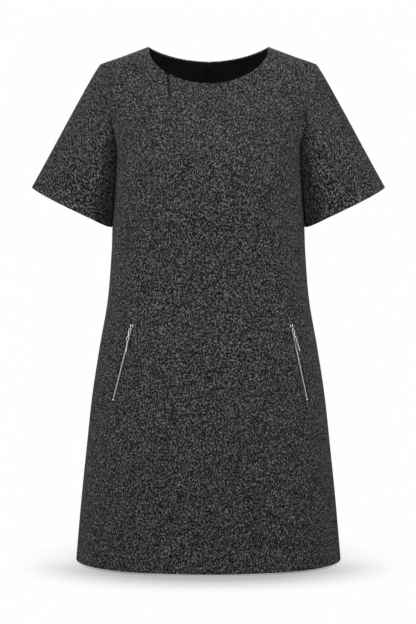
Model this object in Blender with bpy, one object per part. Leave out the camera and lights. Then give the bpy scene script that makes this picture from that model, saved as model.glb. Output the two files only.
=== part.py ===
# Short-sleeved A-line shift dress in tweed, worn form.
#
# The frame is +Z up with the front facing -Y. The origin lies midway between the two points where the
# neckline meets the shoulder seams. Sizes below are millimetres, and a "drop" is a height measured down
# from the origin. Left and right are those of someone who faces the front, so left is -X.

import bpy
import bmesh
from math import asin, atan, copysign, cos, pi, radians, sin, sqrt, tan
from mathutils import Matrix, Vector
from mathutils.bvhtree import BVHTree

MM = 0.001

# Cloth
CLOTH = 2.2
FACING = 1.0
SEAM_GAP = 0.3
FACING_GAP = 2.0

# Neck and shoulders
NECK_HALF = 99.5
FRONT_NECK_DROP = 73.0
BACK_NECK_DROP = 13.5
# Powers of the two half superellipses that make the neckline
FRONT_NECK_POWER = 2.0
BACK_NECK_POWER = 1.45
SHOULDER_SLOPE = tan(radians(20.7))
SHOULDER_HALF = 178.5
SHOULDER_DROP = (SHOULDER_HALF - NECK_HALF) * SHOULDER_SLOPE
UNDERARM_DROP = 185.0
HEM_DROP = 848.0
FACING_DEPTH = 65.0
# Where the back facings end, beside the tapes of the centre-back zip, as a turn from the shoulder
BACK_FACING_TURN = radians(77.0)

# Horizontal sections of the body are superellipses of this power. Each row gives a section: half its
# width, how far the front and the back stand out from the side seam, and how far back that seam lies.
ROUNDNESS = 2.3
SECTION_COLUMNS = ("drop", "half_width", "front", "back", "side_y")
SECTIONS = (
    (0.0, 99.5, 0.0, 0.0, 0.0),
    (4.0, 110.1, 13.0, 30.0, 0.0),
    (13.5, 135.2, 24.5, 54.0, 0.0),
    (SHOULDER_DROP, SHOULDER_HALF, 40.0, 66.0, 0.5),
    (42.0, 190.0, 50.0, 71.0, 2.0),
    (60.0, 194.0, 62.0, 76.5, 4.0),
    (80.0, 192.0, 74.5, 82.0, 5.0),
    (100.0, 188.0, 88.0, 87.0, 6.0),
    (127.0, 177.0, 104.0, 91.0, 8.0),
    (152.0, 164.0, 117.0, 92.0, 9.0),
    (185.0, 156.0, 130.0, 92.0, 10.0),
    (215.0, 156.0, 137.0, 90.5, 10.0),
    (260.0, 157.5, 136.0, 86.5, 10.0),
    (298.0, 159.5, 132.0, 83.5, 10.0),
    (341.0, 161.0, 128.5, 82.0, 10.0),
    (421.0, 167.5, 127.5, 86.0, 10.0),
    (500.0, 181.0, 130.0, 96.0, 9.0),
    (580.0, 193.2, 133.0, 103.0, 9.0),
    (660.0, 201.7, 135.0, 107.0, 8.0),
    (739.0, 209.8, 137.0, 110.0, 8.0),
    (HEM_DROP, 219.3, 140.0, 114.0, 8.0),
)
# Above this drop the grid of a panel keeps this section's width, because the shoulders narrow to the neck.
GRID_DROP = 60.0

# The armhole edge, from the shoulder tip to the underarm
ARMHOLE_COLUMNS = ("drop", "front_x", "back_x")
ARMHOLE = (
    (SHOULDER_DROP, SHOULDER_HALF, SHOULDER_HALF),
    (37.0, 173.0, 174.5),
    (46.0, 167.5, 170.5),
    (59.0, 161.5, 166.0),
    (80.0, 157.0, 162.5),
    (100.0, 155.8, 160.5),
    (127.0, 154.6, 158.5),
    (152.0, 151.8, 154.8),
    (168.0, 150.8, 153.0),
    (180.0, 152.6, 153.8),
    (UNDERARM_DROP, 156.0, 156.0),
)

# Panel grids: columns across half a panel, rows down it
SHOULDER_COLUMNS = 4
NECK_COLUMNS = 8
HALF_COLUMNS = SHOULDER_COLUMNS + NECK_COLUMNS
YOKE_ROWS = 10
# How fast the columns beside the armhole lose its curve towards the centre
SCOOP_FADE = 4
FACING_ROWS = 3
SKIRT_DROPS = (225.0, 275.0, 325.0, 370.0, 413.0, 459.0, 492.0, 522.0, 552.5, 583.0,
               636.0, 689.0, 742.0, 795.0, HEM_DROP)

# Sleeves
CUFF_TOP = Vector((290.5, 0.0, -235.0))
CUFF_UNDER = Vector((160.0, 0.0, -298.0))
CUFF_HALF_DEPTH = 47.0
CUFF_FORWARD = 3.0
CUFF_SWING = 14.0
CUFF_TILT = radians(8.3)
# The power of the opening's oval on the side that lies on the body, and how far the sleeve keeps off it
CUFF_FLATNESS = 3.0
BODY_CLEAR = 1.2
SLEEVE_STEPS = (0.0, 0.07, 0.17, 0.30, 0.45, 0.60, 0.75, 0.88, 1.0)
SHOULDER_TURN = 8.0
UNDERARM_SPREAD = 0.4
UNDERARM_TURN = 16.0
HANG_END = 95.0
FOLD_START = 105.0
FOLD_END = 165.0

# Pocket zips. The pull of each hangs at its own angle to the chain.
ZIP_COLUMNS = ("name", "side", "top_x", "top_drop", "bottom_x", "bottom_drop", "pull_turn")
ZIPS = (
    ("zip_left", -1, 121.5, 462.5, 152.2, 580.5, 5.6),
    ("zip_right", 1, 132.0, 462.0, 158.0, 580.5, 6.5),
)
SLIT_TOP = 459.0
SLIT_BOTTOM = 583.0
SLIT_HALF = 3.2
SLIT_FADE_TOP = 413.0
SLIT_FADE_BOTTOM = 636.0
SLIT_FADE_HALF = 8.0
SLIT_COLUMN = 5
TAPE = 1.0
TAPE_GAP = 0.55
TAPE_HALF_GAP = 1.3
TAPE_REACH = 13.0

# Metal of a pocket zip. "Out" is a height over the cloth's outer face, between two values.
TEETH_HALF = 1.8
TEETH_OUT = (-2.0, -0.3)
TEETH_START = 12.0
TEETH_END_GAP = 4.6
TOP_STOP_START = 1.7
TOP_STOP_LENGTH = 2.0
TOP_STOP_INNER = 1.4
TOP_STOP_OUTER = 2.8
TOP_STOP_OUT = (-2.0, 0.4)
BOTTOM_STOP_HALF = 1.9
BOTTOM_STOP_GAPS = (4.2, 1.0)
BOTTOM_STOP_OUT = (-2.0, 0.3)

# Sliders, measured down from their top ends: an upper plate, a lower plate and the neck between them
SLIDER_START = 6.2
PLATE_OUT = (0.35, 1.35)
PLATE_OUTLINE = ((-3.4, 0.0), (-2.2, -0.6), (-0.9, 0.9), (0.9, 0.9), (2.2, -0.6), (3.4, 0.0), (4.1, 2.2),
                 (3.9, 5.0), (3.2, 9.0), (2.4, 13.5), (2.1, 19.4), (-2.1, 19.4), (-2.4, 13.5),
                 (-3.2, 9.0), (-3.9, 5.0), (-4.1, 2.2))
NECK_BLOCK = ((-0.65, 0.65), (1.0, 4.6), (-4.8, 0.85))
UNDER_BLOCK = ((-3.4, 3.4), (0.6, 16.0), (-5.3, -4.3))
HINGE_DOWN = 16.3
BACK_SLIDER_START = 1.2
BACK_PLATE_OUTLINE = ((-1.6, 0.3), (1.6, 0.3), (1.9, 2.0), (1.7, 13.0), (-1.7, 13.0), (-1.9, 2.0))
BACK_NECK_BLOCK = ((-0.6, 0.6), (3.0, 9.0), (-4.8, 0.85))
BACK_UNDER_BLOCK = ((-2.6, 2.6), (1.0, 14.0), (-5.3, -4.3))
BACK_HINGE_DOWN = 9.0

# The crown of a slider is an arch round the hinge of its pull
PULL_HEIGHT = 2.6
CROWN_INNER = 1.25
CROWN_OUTER = 2.35
CROWN_HALF = 0.5
CROWN_FOOT = 1.0
CROWN_STEPS = 8

# Pulls: a ring head and a flat shaft, measured down from the hinge
RING_OUTER = 3.2
RING_INNER = 1.8
RING_DOWN = 2.5
RING_SIDES = 20
RING_HALF_THICK = 0.5
SHAFT_HALF_THICK = 0.4
PULL_REST_TILT = radians(-3.0)
POCKET_SHAFT = ((-0.9, 5.0), (0.9, 5.0), (0.85, 10.0), (1.0, 17.0), (1.35, 22.0), (1.3, 23.4), (0.7, 24.1),
                (-0.7, 24.1), (-1.3, 23.4), (-1.35, 22.0), (-1.0, 17.0), (-0.85, 10.0))
DROP_SHAFT = ((-0.7, 5.0), (0.7, 5.0), (0.9, 9.0), (2.0, 14.0), (2.9, 18.5), (2.6, 21.5), (1.4, 23.3),
              (-1.4, 23.3), (-2.6, 21.5), (-2.9, 18.5), (-2.0, 14.0), (-0.9, 9.0))

# Centre-back zip. At its top the two panels part round the neck of its slider.
BACK_ZIP_END = 430.0
BACK_TAPE_INNER = 1.0
BACK_TAPE_REACH = 11.0
LIP_HALF = 1.1
LIP_ROWS = 2
COIL_START = 24.0
COIL_END_GAP = 6.0
COIL_HALF = 1.6
COIL_OUT = (-5.2, -4.2)


def smooth(xs, ys):
    """A smooth curve y(x) through the points, its slope at each read across the two beside it."""
    last = len(xs) - 1
    slopes = []
    for i in range(last + 1):
        low = max(i - 1, 0)
        high = min(i + 1, last)
        slopes.append((ys[high] - ys[low]) / (xs[high] - xs[low]))

    def value(x):
        x = min(max(x, xs[0]), xs[-1])
        i = 0
        while i < last - 1 and x > xs[i + 1]:
            i += 1
        step = xs[i + 1] - xs[i]
        t = (x - xs[i]) / step
        rise = 3 * t ** 2 - 2 * t ** 3
        start = (t - 2 * t ** 2 + t ** 3) * slopes[i]
        end = (t ** 3 - t ** 2) * slopes[i + 1]
        return ys[i] * (1 - rise) + ys[i + 1] * rise + (start + end) * step

    return value


def column(names, rows, name):
    return [row[names.index(name)] for row in rows]


def mix(a, b, share):
    return a + (b - a) * share


def ease(x, low, high):
    """0 below low, 1 above high and a soft step between them."""
    t = min(max((x - low) / (high - low), 0.0), 1.0)
    return t * t * (3 - 2 * t)


# ---- the body's surface -------------------------------------------------------------------------

def section_curve(name):
    """A section's size against the square root of the drop, which rounds the shoulders."""
    roots = [sqrt(drop) for drop in column(SECTION_COLUMNS, SECTIONS, "drop")]
    curve = smooth(roots, column(SECTION_COLUMNS, SECTIONS, name))
    return lambda drop: curve(sqrt(drop))


wide = section_curve("half_width")
DEPTH = {-1: section_curve("front"), 1: section_curve("back")}
side_y = section_curve("side_y")


def half_width(drop):
    if drop <= SHOULDER_DROP:
        return NECK_HALF + drop / SHOULDER_SLOPE
    return wide(drop)


def body_point(facing, x, drop):
    """The outer surface at x, on the front (facing -1) or the back (facing 1)."""
    share = min(abs(x) / half_width(drop), 1.0)
    fullness = (1.0 - share ** ROUNDNESS) ** (1 / ROUNDNESS)
    return Vector((x, side_y(drop) + facing * DEPTH[facing](drop) * fullness, -drop))


def body_normal(facing, point):
    """The surface's outward normal at a point well below the shoulder seams."""
    drop = -point.z
    nudge = 0.5

    def slope(curve):
        return (curve(drop + nudge) - curve(drop - nudge)) / (2 * nudge)

    width = half_width(drop)
    depth = DEPTH[facing](drop)
    share_x = min(abs(point.x) / width, 1.0)
    share_y = abs(point.y - side_y(drop)) / depth
    steep_x = share_x ** (ROUNDNESS - 1) / width
    steep_y = share_y ** (ROUNDNESS - 1) / depth
    rise = steep_x * share_x * slope(half_width) + steep_y * share_y * slope(DEPTH[facing])
    rise += facing * steep_y * slope(side_y)
    return Vector((copysign(steep_x, point.x), facing * steep_y, rise)).normalized()


def grid_width(drop):
    return half_width(max(drop, GRID_DROP))


def to_angle(x, drop):
    return asin(min(x / grid_width(drop), 1.0) ** (ROUNDNESS / 2))


def to_x(angle, drop):
    return grid_width(drop) * max(sin(angle), 0.0) ** (2 / ROUNDNESS)


# ---- panel grids --------------------------------------------------------------------------------

def armhole_edge(facing):
    """(angle, drop) down the armhole edge, at even steps of its length."""
    fine_steps = 400
    drops = column(ARMHOLE_COLUMNS, ARMHOLE, "drop")
    edge = smooth(drops, column(ARMHOLE_COLUMNS, ARMHOLE, "front_x" if facing < 0 else "back_x"))
    places = []
    for i in range(fine_steps + 1):
        drop = mix(SHOULDER_DROP, UNDERARM_DROP, i / fine_steps)
        places.append((min(edge(drop), half_width(drop)), drop))
    lengths = [0.0]
    for a, b in zip(places, places[1:]):
        lengths.append(lengths[-1] + (body_point(facing, *a) - body_point(facing, *b)).length)
    picked = []
    for r in range(YOKE_ROWS + 1):
        goal = lengths[-1] * r / YOKE_ROWS
        i = min(range(len(lengths)), key=lambda k: abs(lengths[k] - goal))
        x, drop = places[i]
        picked.append((to_angle(x, drop), drop))
    return picked


def neck_shares(facing, turn):
    """How far out and how far down the neckline lies at a turn from the shoulder, as shares of its own."""
    power = FRONT_NECK_POWER if facing < 0 else BACK_NECK_POWER
    return max(cos(turn), 0.0) ** (2 / power), sin(turn) ** (2 / power)


def top_edge(facing):
    """(angle, drop) along the shoulder seam from its tip, then down the neckline to the centre."""
    neck_drop = FRONT_NECK_DROP if facing < 0 else BACK_NECK_DROP
    places = []
    for c in range(SHOULDER_COLUMNS):
        x = mix(SHOULDER_HALF, NECK_HALF, c / SHOULDER_COLUMNS)
        places.append((x, (x - NECK_HALF) * SHOULDER_SLOPE))
    for c in range(NECK_COLUMNS + 1):
        out, down = neck_shares(facing, pi / 2 * c / NECK_COLUMNS)
        places.append((NECK_HALF * out, neck_drop * down))
    return [(to_angle(x, drop), drop) for x, drop in places]


def plain_angles(drop):
    """Columns of half a back panel, from the side seam to the centre."""
    return [pi / 2 * (1 - c / HALF_COLUMNS) for c in range(HALF_COLUMNS + 1)]


def zip_line(row, drop):
    """The x of a pocket zip's middle at a drop. Past its ends it keeps the angle that it had there."""
    values = dict(zip(ZIP_COLUMNS, row))
    held = min(max(drop, values["top_drop"]), values["bottom_drop"])
    share = (held - values["top_drop"]) / (values["bottom_drop"] - values["top_drop"])
    return to_x(to_angle(mix(values["top_x"], values["bottom_x"], share), held), drop)


def slit_half(drop):
    """Half the distance between the two columns that run along a slit."""
    if drop < SLIT_TOP:
        return mix(SLIT_HALF, SLIT_FADE_HALF, ease(-drop, -SLIT_TOP, -SLIT_FADE_TOP))
    return mix(SLIT_HALF, SLIT_FADE_HALF, ease(drop, SLIT_BOTTOM, SLIT_FADE_BOTTOM))


def zip_angles(row):
    """Columns of half the front, two of them along the slit of its pocket zip."""
    def angles(drop):
        x = zip_line(row, drop)
        middle = to_angle(x, drop)
        nudge = 0.01
        arc = (body_point(-1, to_x(middle + nudge, drop), drop) - body_point(-1, x, drop)).length / nudge
        outer = middle + slit_half(drop) / arc
        inner = middle - slit_half(drop) / arc
        places = [mix(pi / 2, outer, c / SLIT_COLUMN) for c in range(SLIT_COLUMN + 1)]
        rest = HALF_COLUMNS - SLIT_COLUMN - 1
        places += [inner * (1 - c / rest) for c in range(rest + 1)]
        return places
    return angles


def half_grid(facing, side, angles):
    """Outer points of half a panel in rows from the top, each from the side to the centre."""
    top = top_edge(facing)
    sides = armhole_edge(facing)
    bottom = [(angle, UNDERARM_DROP) for angle in angles(UNDERARM_DROP)]
    rows = []
    for r in range(YOKE_ROWS + 1):
        v = r / YOKE_ROWS
        row = []
        for c in range(HALF_COLUMNS + 1):
            scoop_share = (1 - c / HALF_COLUMNS) ** SCOOP_FADE
            place = []
            for k in range(2):
                straight = mix(top[c][k], bottom[c][k], v)
                scoop = sides[r][k] - mix(sides[0][k], sides[-1][k], v)
                place.append(straight + scoop * scoop_share)
            row.append(place)
        rows.append(row)
    for drop in SKIRT_DROPS:
        rows.append([(angle, drop) for angle in angles(drop)])
    return [[body_point(facing, side * to_x(angle, drop), drop) for angle, drop in row] for row in rows]


def normals_of(grid, closed=False):
    """Outward normals of a grid whose rows run down and whose points run to the viewer's right."""
    rows = len(grid)
    columns = len(grid[0])
    result = []
    for r in range(rows):
        line = []
        for c in range(columns):
            down = grid[min(r + 1, rows - 1)][c] - grid[max(r - 1, 0)][c]
            if closed:
                across = grid[r][(c + 1) % columns] - grid[r][c - 1]
            else:
                across = grid[r][min(c + 1, columns - 1)] - grid[r][max(c - 1, 0)]
            line.append(down.cross(across).normalized())
        result.append(line)
    return result


def panel_normals(grid, facing):
    """Normals of a panel: its surface's own wherever the shoulders' ridge is not near."""
    result = normals_of(grid)
    for points, line in zip(grid, result):
        for c, point in enumerate(points):
            if -point.z > GRID_DROP:
                line[c] = body_normal(facing, point)
    return result


def without(vector, axis):
    """The unit vector left when an axis is taken out, for an edge that keeps to its seam's plane."""
    vector = vector.copy()
    vector[axis] = 0.0
    return vector.normalized()


def move_back(grid, normals, depth):
    return [[p - n * depth for p, n in zip(ps, ns)] for ps, ns in zip(grid, normals)]


# ---- meshes -------------------------------------------------------------------------------------

def material(name, colour, roughness, metallic=0.0):
    made = bpy.data.materials.get(name)
    if made is None:
        made = bpy.data.materials.new(name)
        made.use_nodes = True
        shader = made.node_tree.nodes["Principled BSDF"]
        shader.inputs["Base Color"].default_value = (*colour, 1.0)
        shader.inputs["Roughness"].default_value = roughness
        shader.inputs["Metallic"].default_value = metallic
    return made


def tweed():
    return material("tweed", (0.05, 0.052, 0.057), 0.95)


def facing_cloth():
    return material("facing_cloth", (0.006, 0.006, 0.007), 0.85)


def tape_cloth():
    return material("zip_tape", (0.008, 0.008, 0.009), 0.8)


def nickel():
    return material("nickel", (0.66, 0.66, 0.68), 0.25, 1.0)


def dark_enamel():
    return material("dark_enamel", (0.01, 0.01, 0.011), 0.4)


def add_object(name, verts, faces, finish, place=None):
    """An object from points in millimetres. With a place, the points are local to it."""
    mesh = bpy.data.meshes.new(name)
    mesh.from_pydata([Vector(v) * MM for v in verts], [], faces)
    mesh.materials.append(finish)
    made = bpy.data.objects.new(name, mesh)
    if place is not None:
        made.matrix_world = Matrix.Translation(place.translation * MM) @ place.to_3x3().to_4x4()
    bpy.context.scene.collection.objects.link(made)
    return made


def wall(name, outer, inner, finish, keep=None, closed=False, thin=False):
    """A closed wall between two grids. Cells that keep refuses are left out and edged.

    A thin wall has both its faces start at the same corner, so a twisted cell bends alike on either side.
    """
    rows = len(outer)
    columns = len(outer[0])
    cells = set()
    for r in range(rows - 1):
        for c in range(columns if closed else columns - 1):
            if keep is None or keep(r, c):
                cells.add((r, c))
    verts = [p for row in outer for p in row] + [p for row in inner for p in row]
    below = rows * columns

    def index(r, c):
        return r * columns + c % columns

    faces = []
    for r, c in sorted(cells):
        a, b, d, e = index(r, c), index(r + 1, c), index(r + 1, c + 1), index(r, c + 1)
        faces.append((a, b, d, e))
        inner_face = (a, e, d, b) if thin else (e, d, b, a)
        faces.append(tuple(i + below for i in inner_face))
        left = (c - 1) % columns if closed else c - 1
        right = (c + 1) % columns if closed else c + 1
        edges = (((r - 1, c), e, a), ((r + 1, c), b, d), ((r, left), a, b), ((r, right), d, e))
        for neighbour, p, q in edges:
            if neighbour not in cells:
                faces.append((q, p, p + below, q + below))
    return add_object(name, verts, faces, finish)


def prism(outline, low, high):
    """A closed block: an outline of (across, down) points between two heights."""
    count = len(outline)
    verts = [(x, y, low) for x, y in outline] + [(x, y, high) for x, y in outline]
    faces = [tuple(reversed(range(count))), tuple(range(count, 2 * count))]
    for i in range(count):
        j = (i + 1) % count
        faces.append((i, j, j + count, i + count))
    return verts, faces


def block(across, down, out):
    """A box between the low and high of each of its three ranges."""
    outline = [(across[0], down[0]), (across[1], down[0]), (across[1], down[1]), (across[0], down[1])]
    return prism(outline, *out)


def turned(shape):
    """The same block with its outline standing up: (across, down, out) becomes (out, across, down)."""
    verts, faces = shape
    return [(z, x, y) for x, y, z in verts], faces


def fused(name, shapes, finish, place):
    """One body from overlapping blocks."""
    made = add_object(name, *shapes[0], finish, place)
    face_outward(made)
    for i, shape in enumerate(shapes[1:]):
        tool = add_object(f"{name}_tool_{i}", *shape, finish, place)
        face_outward(tool)
        tool.hide_render = True
        tool.display_type = "WIRE"
        step = made.modifiers.new("Join", "BOOLEAN")
        step.object = tool
        step.operation = "UNION"
        step.solver = "EXACT"


# ---- panels -------------------------------------------------------------------------------------

def panel_from_halves(left, right):
    """One grid across a whole front, its columns running to the viewer's right."""
    return [a + b[-2::-1] for a, b in zip(left, right)]


def seam_in(grid, normals, facing, side_columns, shoulder_columns):
    """Draws the side and shoulder edges half a gap in, with their walls in the plane of the seam."""
    shift = Vector((0.0, facing * SEAM_GAP / 2, 0.0))
    edges = [(0, c) for c in shoulder_columns]
    edges += [(r, c) for c in side_columns for r in range(YOKE_ROWS, len(grid))]
    for r, c in sorted(set(edges)):
        grid[r][c] = grid[r][c] + shift
        normals[r][c] = without(normals[r][c], 1)


def front_grid():
    halves = []
    for row in ZIPS:
        side = row[ZIP_COLUMNS.index("side")]
        halves.append(half_grid(-1, side, zip_angles(row)))
    grid = panel_from_halves(*halves)
    normals = panel_normals(grid, -1)
    last = 2 * HALF_COLUMNS
    shoulders = [*range(SHOULDER_COLUMNS + 1), *range(last - SHOULDER_COLUMNS, last + 1)]
    seam_in(grid, normals, -1, (0, last), shoulders)
    return grid, normals


def back_grid(side):
    """Half the back, its columns running to the right as seen from behind."""
    grid = half_grid(1, side, plain_angles)
    if side < 0:
        grid = [row[::-1] for row in grid]
        centre, edge = 0, HALF_COLUMNS
        shoulders = range(HALF_COLUMNS - SHOULDER_COLUMNS, HALF_COLUMNS + 1)
    else:
        centre, edge = HALF_COLUMNS, 0
        shoulders = range(SHOULDER_COLUMNS + 1)
    normals = panel_normals(grid, 1)
    seam_in(grid, normals, 1, (edge,), shoulders)
    for r, row in enumerate(grid):
        half_gap = LIP_HALF if r < LIP_ROWS else SEAM_GAP / 2
        row[centre].x = side * half_gap
        normals[r][centre] = without(normals[r][centre], 0)
    return grid, normals


def skirt_row(drop):
    return YOKE_ROWS + 1 + SKIRT_DROPS.index(drop)


def slit_cell(r, c):
    """Cells of the front that the pocket slits take out."""
    in_column = c in (SLIT_COLUMN, 2 * HALF_COLUMNS - 1 - SLIT_COLUMN)
    return in_column and skirt_row(SLIT_TOP) <= r < skirt_row(SLIT_BOTTOM)


# ---- sleeves ------------------------------------------------------------------------------------

def edge_frames(grid, normals, column_index, inward):
    """Point, normal and the direction off the panel, for each row of an armhole edge."""
    frames = []
    for r in range(YOKE_ROWS + 1):
        point = grid[r][column_index]
        normal = normals[r][column_index]
        along = grid[min(r + 1, YOKE_ROWS)][column_index] - grid[max(r - 1, 0)][column_index]
        off = point - grid[r][column_index + inward]
        off = off - along * (off.dot(along) / along.dot(along))
        off = (off - normal * off.dot(normal)).normalized()
        frames.append((point, normal, off))
    return frames


def cuff_point(side, angle):
    """A point of the cuff edge: angle 0 is under the arm, and pi / 2 is at the front."""
    centre = (CUFF_TOP + CUFF_UNDER) / 2
    outward = (CUFF_TOP - CUFF_UNDER) / 2
    forward = Vector((0.0, -cos(CUFF_TILT), -sin(CUFF_TILT))) * CUFF_HALF_DEPTH
    power = CUFF_FLATNESS if cos(angle) > 0 else 2.0
    under = copysign(abs(cos(angle)) ** (2 / power), cos(angle))
    front = copysign(abs(sin(angle)) ** (2 / power), sin(angle))
    point = centre - outward * under + forward * front
    return Vector((side * point.x, point.y - CUFF_FORWARD + CUFF_SWING * under, point.z))


def off_body(point, side):
    """The point, moved sideways if it lies closer to the body than the sleeve does."""
    drop = -point.z
    away = point.y - side_y(drop)
    depth = DEPTH[-1](drop) if away < 0 else DEPTH[1](drop)
    share = min(abs(away) / depth, 1.0)
    reach = half_width(drop) * (1.0 - share ** ROUNDNESS) ** (1 / ROUNDNESS)
    return Vector((side * max(abs(point.x), reach + BODY_CLEAR), point.y, point.z))


def sleeve_grid(side, front, back):
    """Rows of rings from the armhole to the cuff, with the wall's direction at each point."""
    ring = list(reversed(front))
    ring += back[1:-1]
    ends = {0: back[-1], YOKE_ROWS: back[0]}
    for i, other in ends.items():
        point, normal, off = ring[i]
        ring[i] = ((point + other[0]) / 2, without(normal + other[1], 1), off)
    count = len(ring)
    shoulder_off = Vector((side * cos(atan(SHOULDER_SLOPE)), 0.0, -sin(atan(SHOULDER_SLOPE))))
    grid = [[] for _ in SLEEVE_STEPS]
    blends = []
    for i, (point, normal, off) in enumerate(ring):
        if i == YOKE_ROWS:
            off = shoulder_off
        drop = -point.z
        goal = cuff_point(side, 2 * pi * i / count)
        straight = (goal - point).normalized()
        hang = ease(drop, SHOULDER_DROP, HANG_END)
        fold = ease(drop, FOLD_START, FOLD_END)
        start = point + mix(off, normal, fold).normalized() * SEAM_GAP
        length = (goal - start).length
        turn = (mix(off, straight, hang) + normal * UNDERARM_SPREAD * fold).normalized()
        handle = mix(mix(SHOULDER_TURN, length / 3, hang), UNDERARM_TURN, fold)
        controls = (start, start + turn * handle, goal - straight * length / 3, goal)
        for t, row in zip(SLEEVE_STEPS, grid):
            weights = ((1 - t) ** 3, 3 * t * (1 - t) ** 2, 3 * t ** 2 * (1 - t), t ** 3)
            spot = sum((p * w for p, w in zip(controls, weights)), Vector())
            row.append(off_body(spot, side) if t > 0 and fold > 0 else spot)
        blends.append((normal, hang))
    if side < 0:
        grid = [[row[0]] + row[:0:-1] for row in grid]
        blends = [blends[0]] + blends[:0:-1]
    normals = normals_of(grid, closed=True)
    for c, (normal, hang) in enumerate(blends):
        normals[0][c] = mix(normal, normals[0][c], hang).normalized()
    return grid, normals


# ---- neck facings -------------------------------------------------------------------------------

def panel_back(grid, normals, rows):
    """A search tree of the inner face of the top rows of a panel."""
    inner = move_back(grid, normals, CLOTH)
    columns = len(inner[0])
    verts = [p for row in inner[:rows] for p in row]
    polygons = []
    for r in range(rows - 1):
        for c in range(columns - 1):
            a = r * columns + c
            polygons.append((a, a + columns, a + columns + 1, a + 1))
    return BVHTree.FromPolygons(verts, polygons)


def facing_grid(facing, side, last_turn=pi / 2):
    """Points of the outer surface from the neckline down, each row from the shoulder inward."""
    neck_drop = FRONT_NECK_DROP if facing < 0 else BACK_NECK_DROP
    slope = atan(SHOULDER_SLOPE)
    rows = []
    for r in range(FACING_ROWS + 1):
        depth = FACING_DEPTH * r / FACING_ROWS
        row = []
        for c in range(NECK_COLUMNS + 1):
            out, down = neck_shares(facing, last_turn * c / NECK_COLUMNS)
            x = (NECK_HALF + depth * cos(slope)) * out
            drop = depth * sin(slope) * out + (neck_drop + depth) * down
            row.append(body_point(facing, side * x, drop))
        rows.append(row)
    return rows


def facing_wall(name, surface, tree, facing, shoulders, centre=None):
    """A facing just behind the panel that the tree holds."""
    outer = []
    inner = []
    for ps, ns in zip(surface, normals_of(surface)):
        row = []
        under = []
        for c, (p, n) in enumerate(zip(ps, ns)):
            if c == centre:
                n = without(n, 0)
            spot = tree.find_nearest(p - n * CLOTH)[0] - n * FACING_GAP
            if c == centre:
                spot.x = p.x
            if c in shoulders:
                spot.y = facing * SEAM_GAP / 2
                n = without(n, 1)
            row.append(spot)
            under.append(spot - n * FACING)
        outer.append(row)
        inner.append(under)
    wall(name, outer, inner, facing_cloth(), thin=True)


def make_facings(front, backs):
    grid = panel_from_halves(facing_grid(-1, -1), facing_grid(-1, 1))
    tree = panel_back(*front, YOKE_ROWS)
    facing_wall("facing_front", grid, tree, -1, (0, 2 * NECK_COLUMNS))
    for side, name in ((-1, "facing_back_left"), (1, "facing_back_right")):
        grid = facing_grid(1, side, BACK_FACING_TURN)
        for row in grid:
            row[-1] = body_point(1, side * (BACK_TAPE_REACH + 2 * SEAM_GAP), -row[-1].z)
        seam, centre = 0, NECK_COLUMNS
        if side < 0:
            grid = [row[::-1] for row in grid]
            seam, centre = NECK_COLUMNS, 0
        tree = panel_back(*backs[side], YOKE_ROWS)
        facing_wall(name, grid, tree, 1, (seam,), centre)


# ---- zips ---------------------------------------------------------------------------------------

def frame_at(point, down, out):
    """A place whose local axes are across (to the viewer's left), down the zip, and out of the cloth."""
    down = down.normalized()
    out = (out - down * out.dot(down)).normalized()
    across = down.cross(out)
    place = Matrix((across, down, out)).transposed().to_4x4()
    place.translation = point
    return place


class ZipLine:
    """The middle of a zip, as a chain of straight runs between rows of the panel that it lies on."""

    def __init__(self, points, normals):
        self.points = points
        self.normals = normals
        self.lengths = [0.0]
        for a, b in zip(points, points[1:]):
            self.lengths.append(self.lengths[-1] + (b - a).length)

    def place(self, s):
        i = 0
        while i < len(self.points) - 2 and s > self.lengths[i + 1]:
            i += 1
        run = self.lengths[i + 1] - self.lengths[i]
        share = (s - self.lengths[i]) / run
        down = self.points[i + 1] - self.points[i]
        point = self.points[i] + down * share
        return frame_at(point, down, mix(self.normals[i], self.normals[i + 1], min(max(share, 0.0), 1.0)))

    def rigid(self, s):
        """The place for a stiff piece, square to the first run."""
        first = self.place(self.lengths[1] / 2)
        return frame_at(self.place(s).translation, first.col[1].to_3d(), first.col[2].to_3d())

    def strip(self, name, start, end, across, out, finish):
        """A bar along the zip, between two values across it and two out of it."""
        stations = [start] + [s for s in self.lengths if start < s < end] + [end]
        corners = ((across[0], out[0]), (across[1], out[0]), (across[1], out[1]), (across[0], out[1]))
        verts = []
        for s in stations:
            place = self.place(s)
            verts += [place @ Vector((a, 0.0, o)) for a, o in corners]
        faces = [(0, 1, 2, 3)]
        for k in range(len(stations) - 1):
            for i in range(4):
                j = (i + 1) % 4
                faces.append((4 * k + j, 4 * k + i, 4 * k + 4 + i, 4 * k + 4 + j))
        top = 4 * (len(stations) - 1)
        faces.append((top + 3, top + 2, top + 1, top))
        face_outward(add_object(name, verts, faces, finish))


def face_outward(made):
    solid = bmesh.new()
    solid.from_mesh(made.data)
    bmesh.ops.recalc_face_normals(solid, faces=solid.faces)
    solid.to_mesh(made.data)
    solid.free()


def tape(name, rows):
    """A strip of tape. Each row holds its two edges as a point on the panel's back and a normal."""
    outer = [[point - normal * TAPE_GAP for point, normal in row] for row in rows]
    inner = [[point - normal * (TAPE_GAP + TAPE) for point, normal in row] for row in rows]
    face_outward(wall(name, outer, inner, tape_cloth()))


def ribbon(outer, inner, low, high, closed=False):
    """A bar that follows two lines of points, an outer and an inner one, between two heights."""
    count = len(outer)
    verts = []
    for (ax, ay), (bx, by) in zip(outer, inner):
        verts += [(ax, ay, low), (bx, by, low), (bx, by, high), (ax, ay, high)]
    faces = []
    for k in range(count if closed else count - 1):
        following = 4 * ((k + 1) % count)
        for i in range(4):
            j = (i + 1) % 4
            faces.append((4 * k + i, 4 * k + j, following + j, following + i))
    if not closed:
        end = 4 * (count - 1)
        faces.append((3, 2, 1, 0))
        faces.append((end, end + 1, end + 2, end + 3))
    return verts, faces


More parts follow.
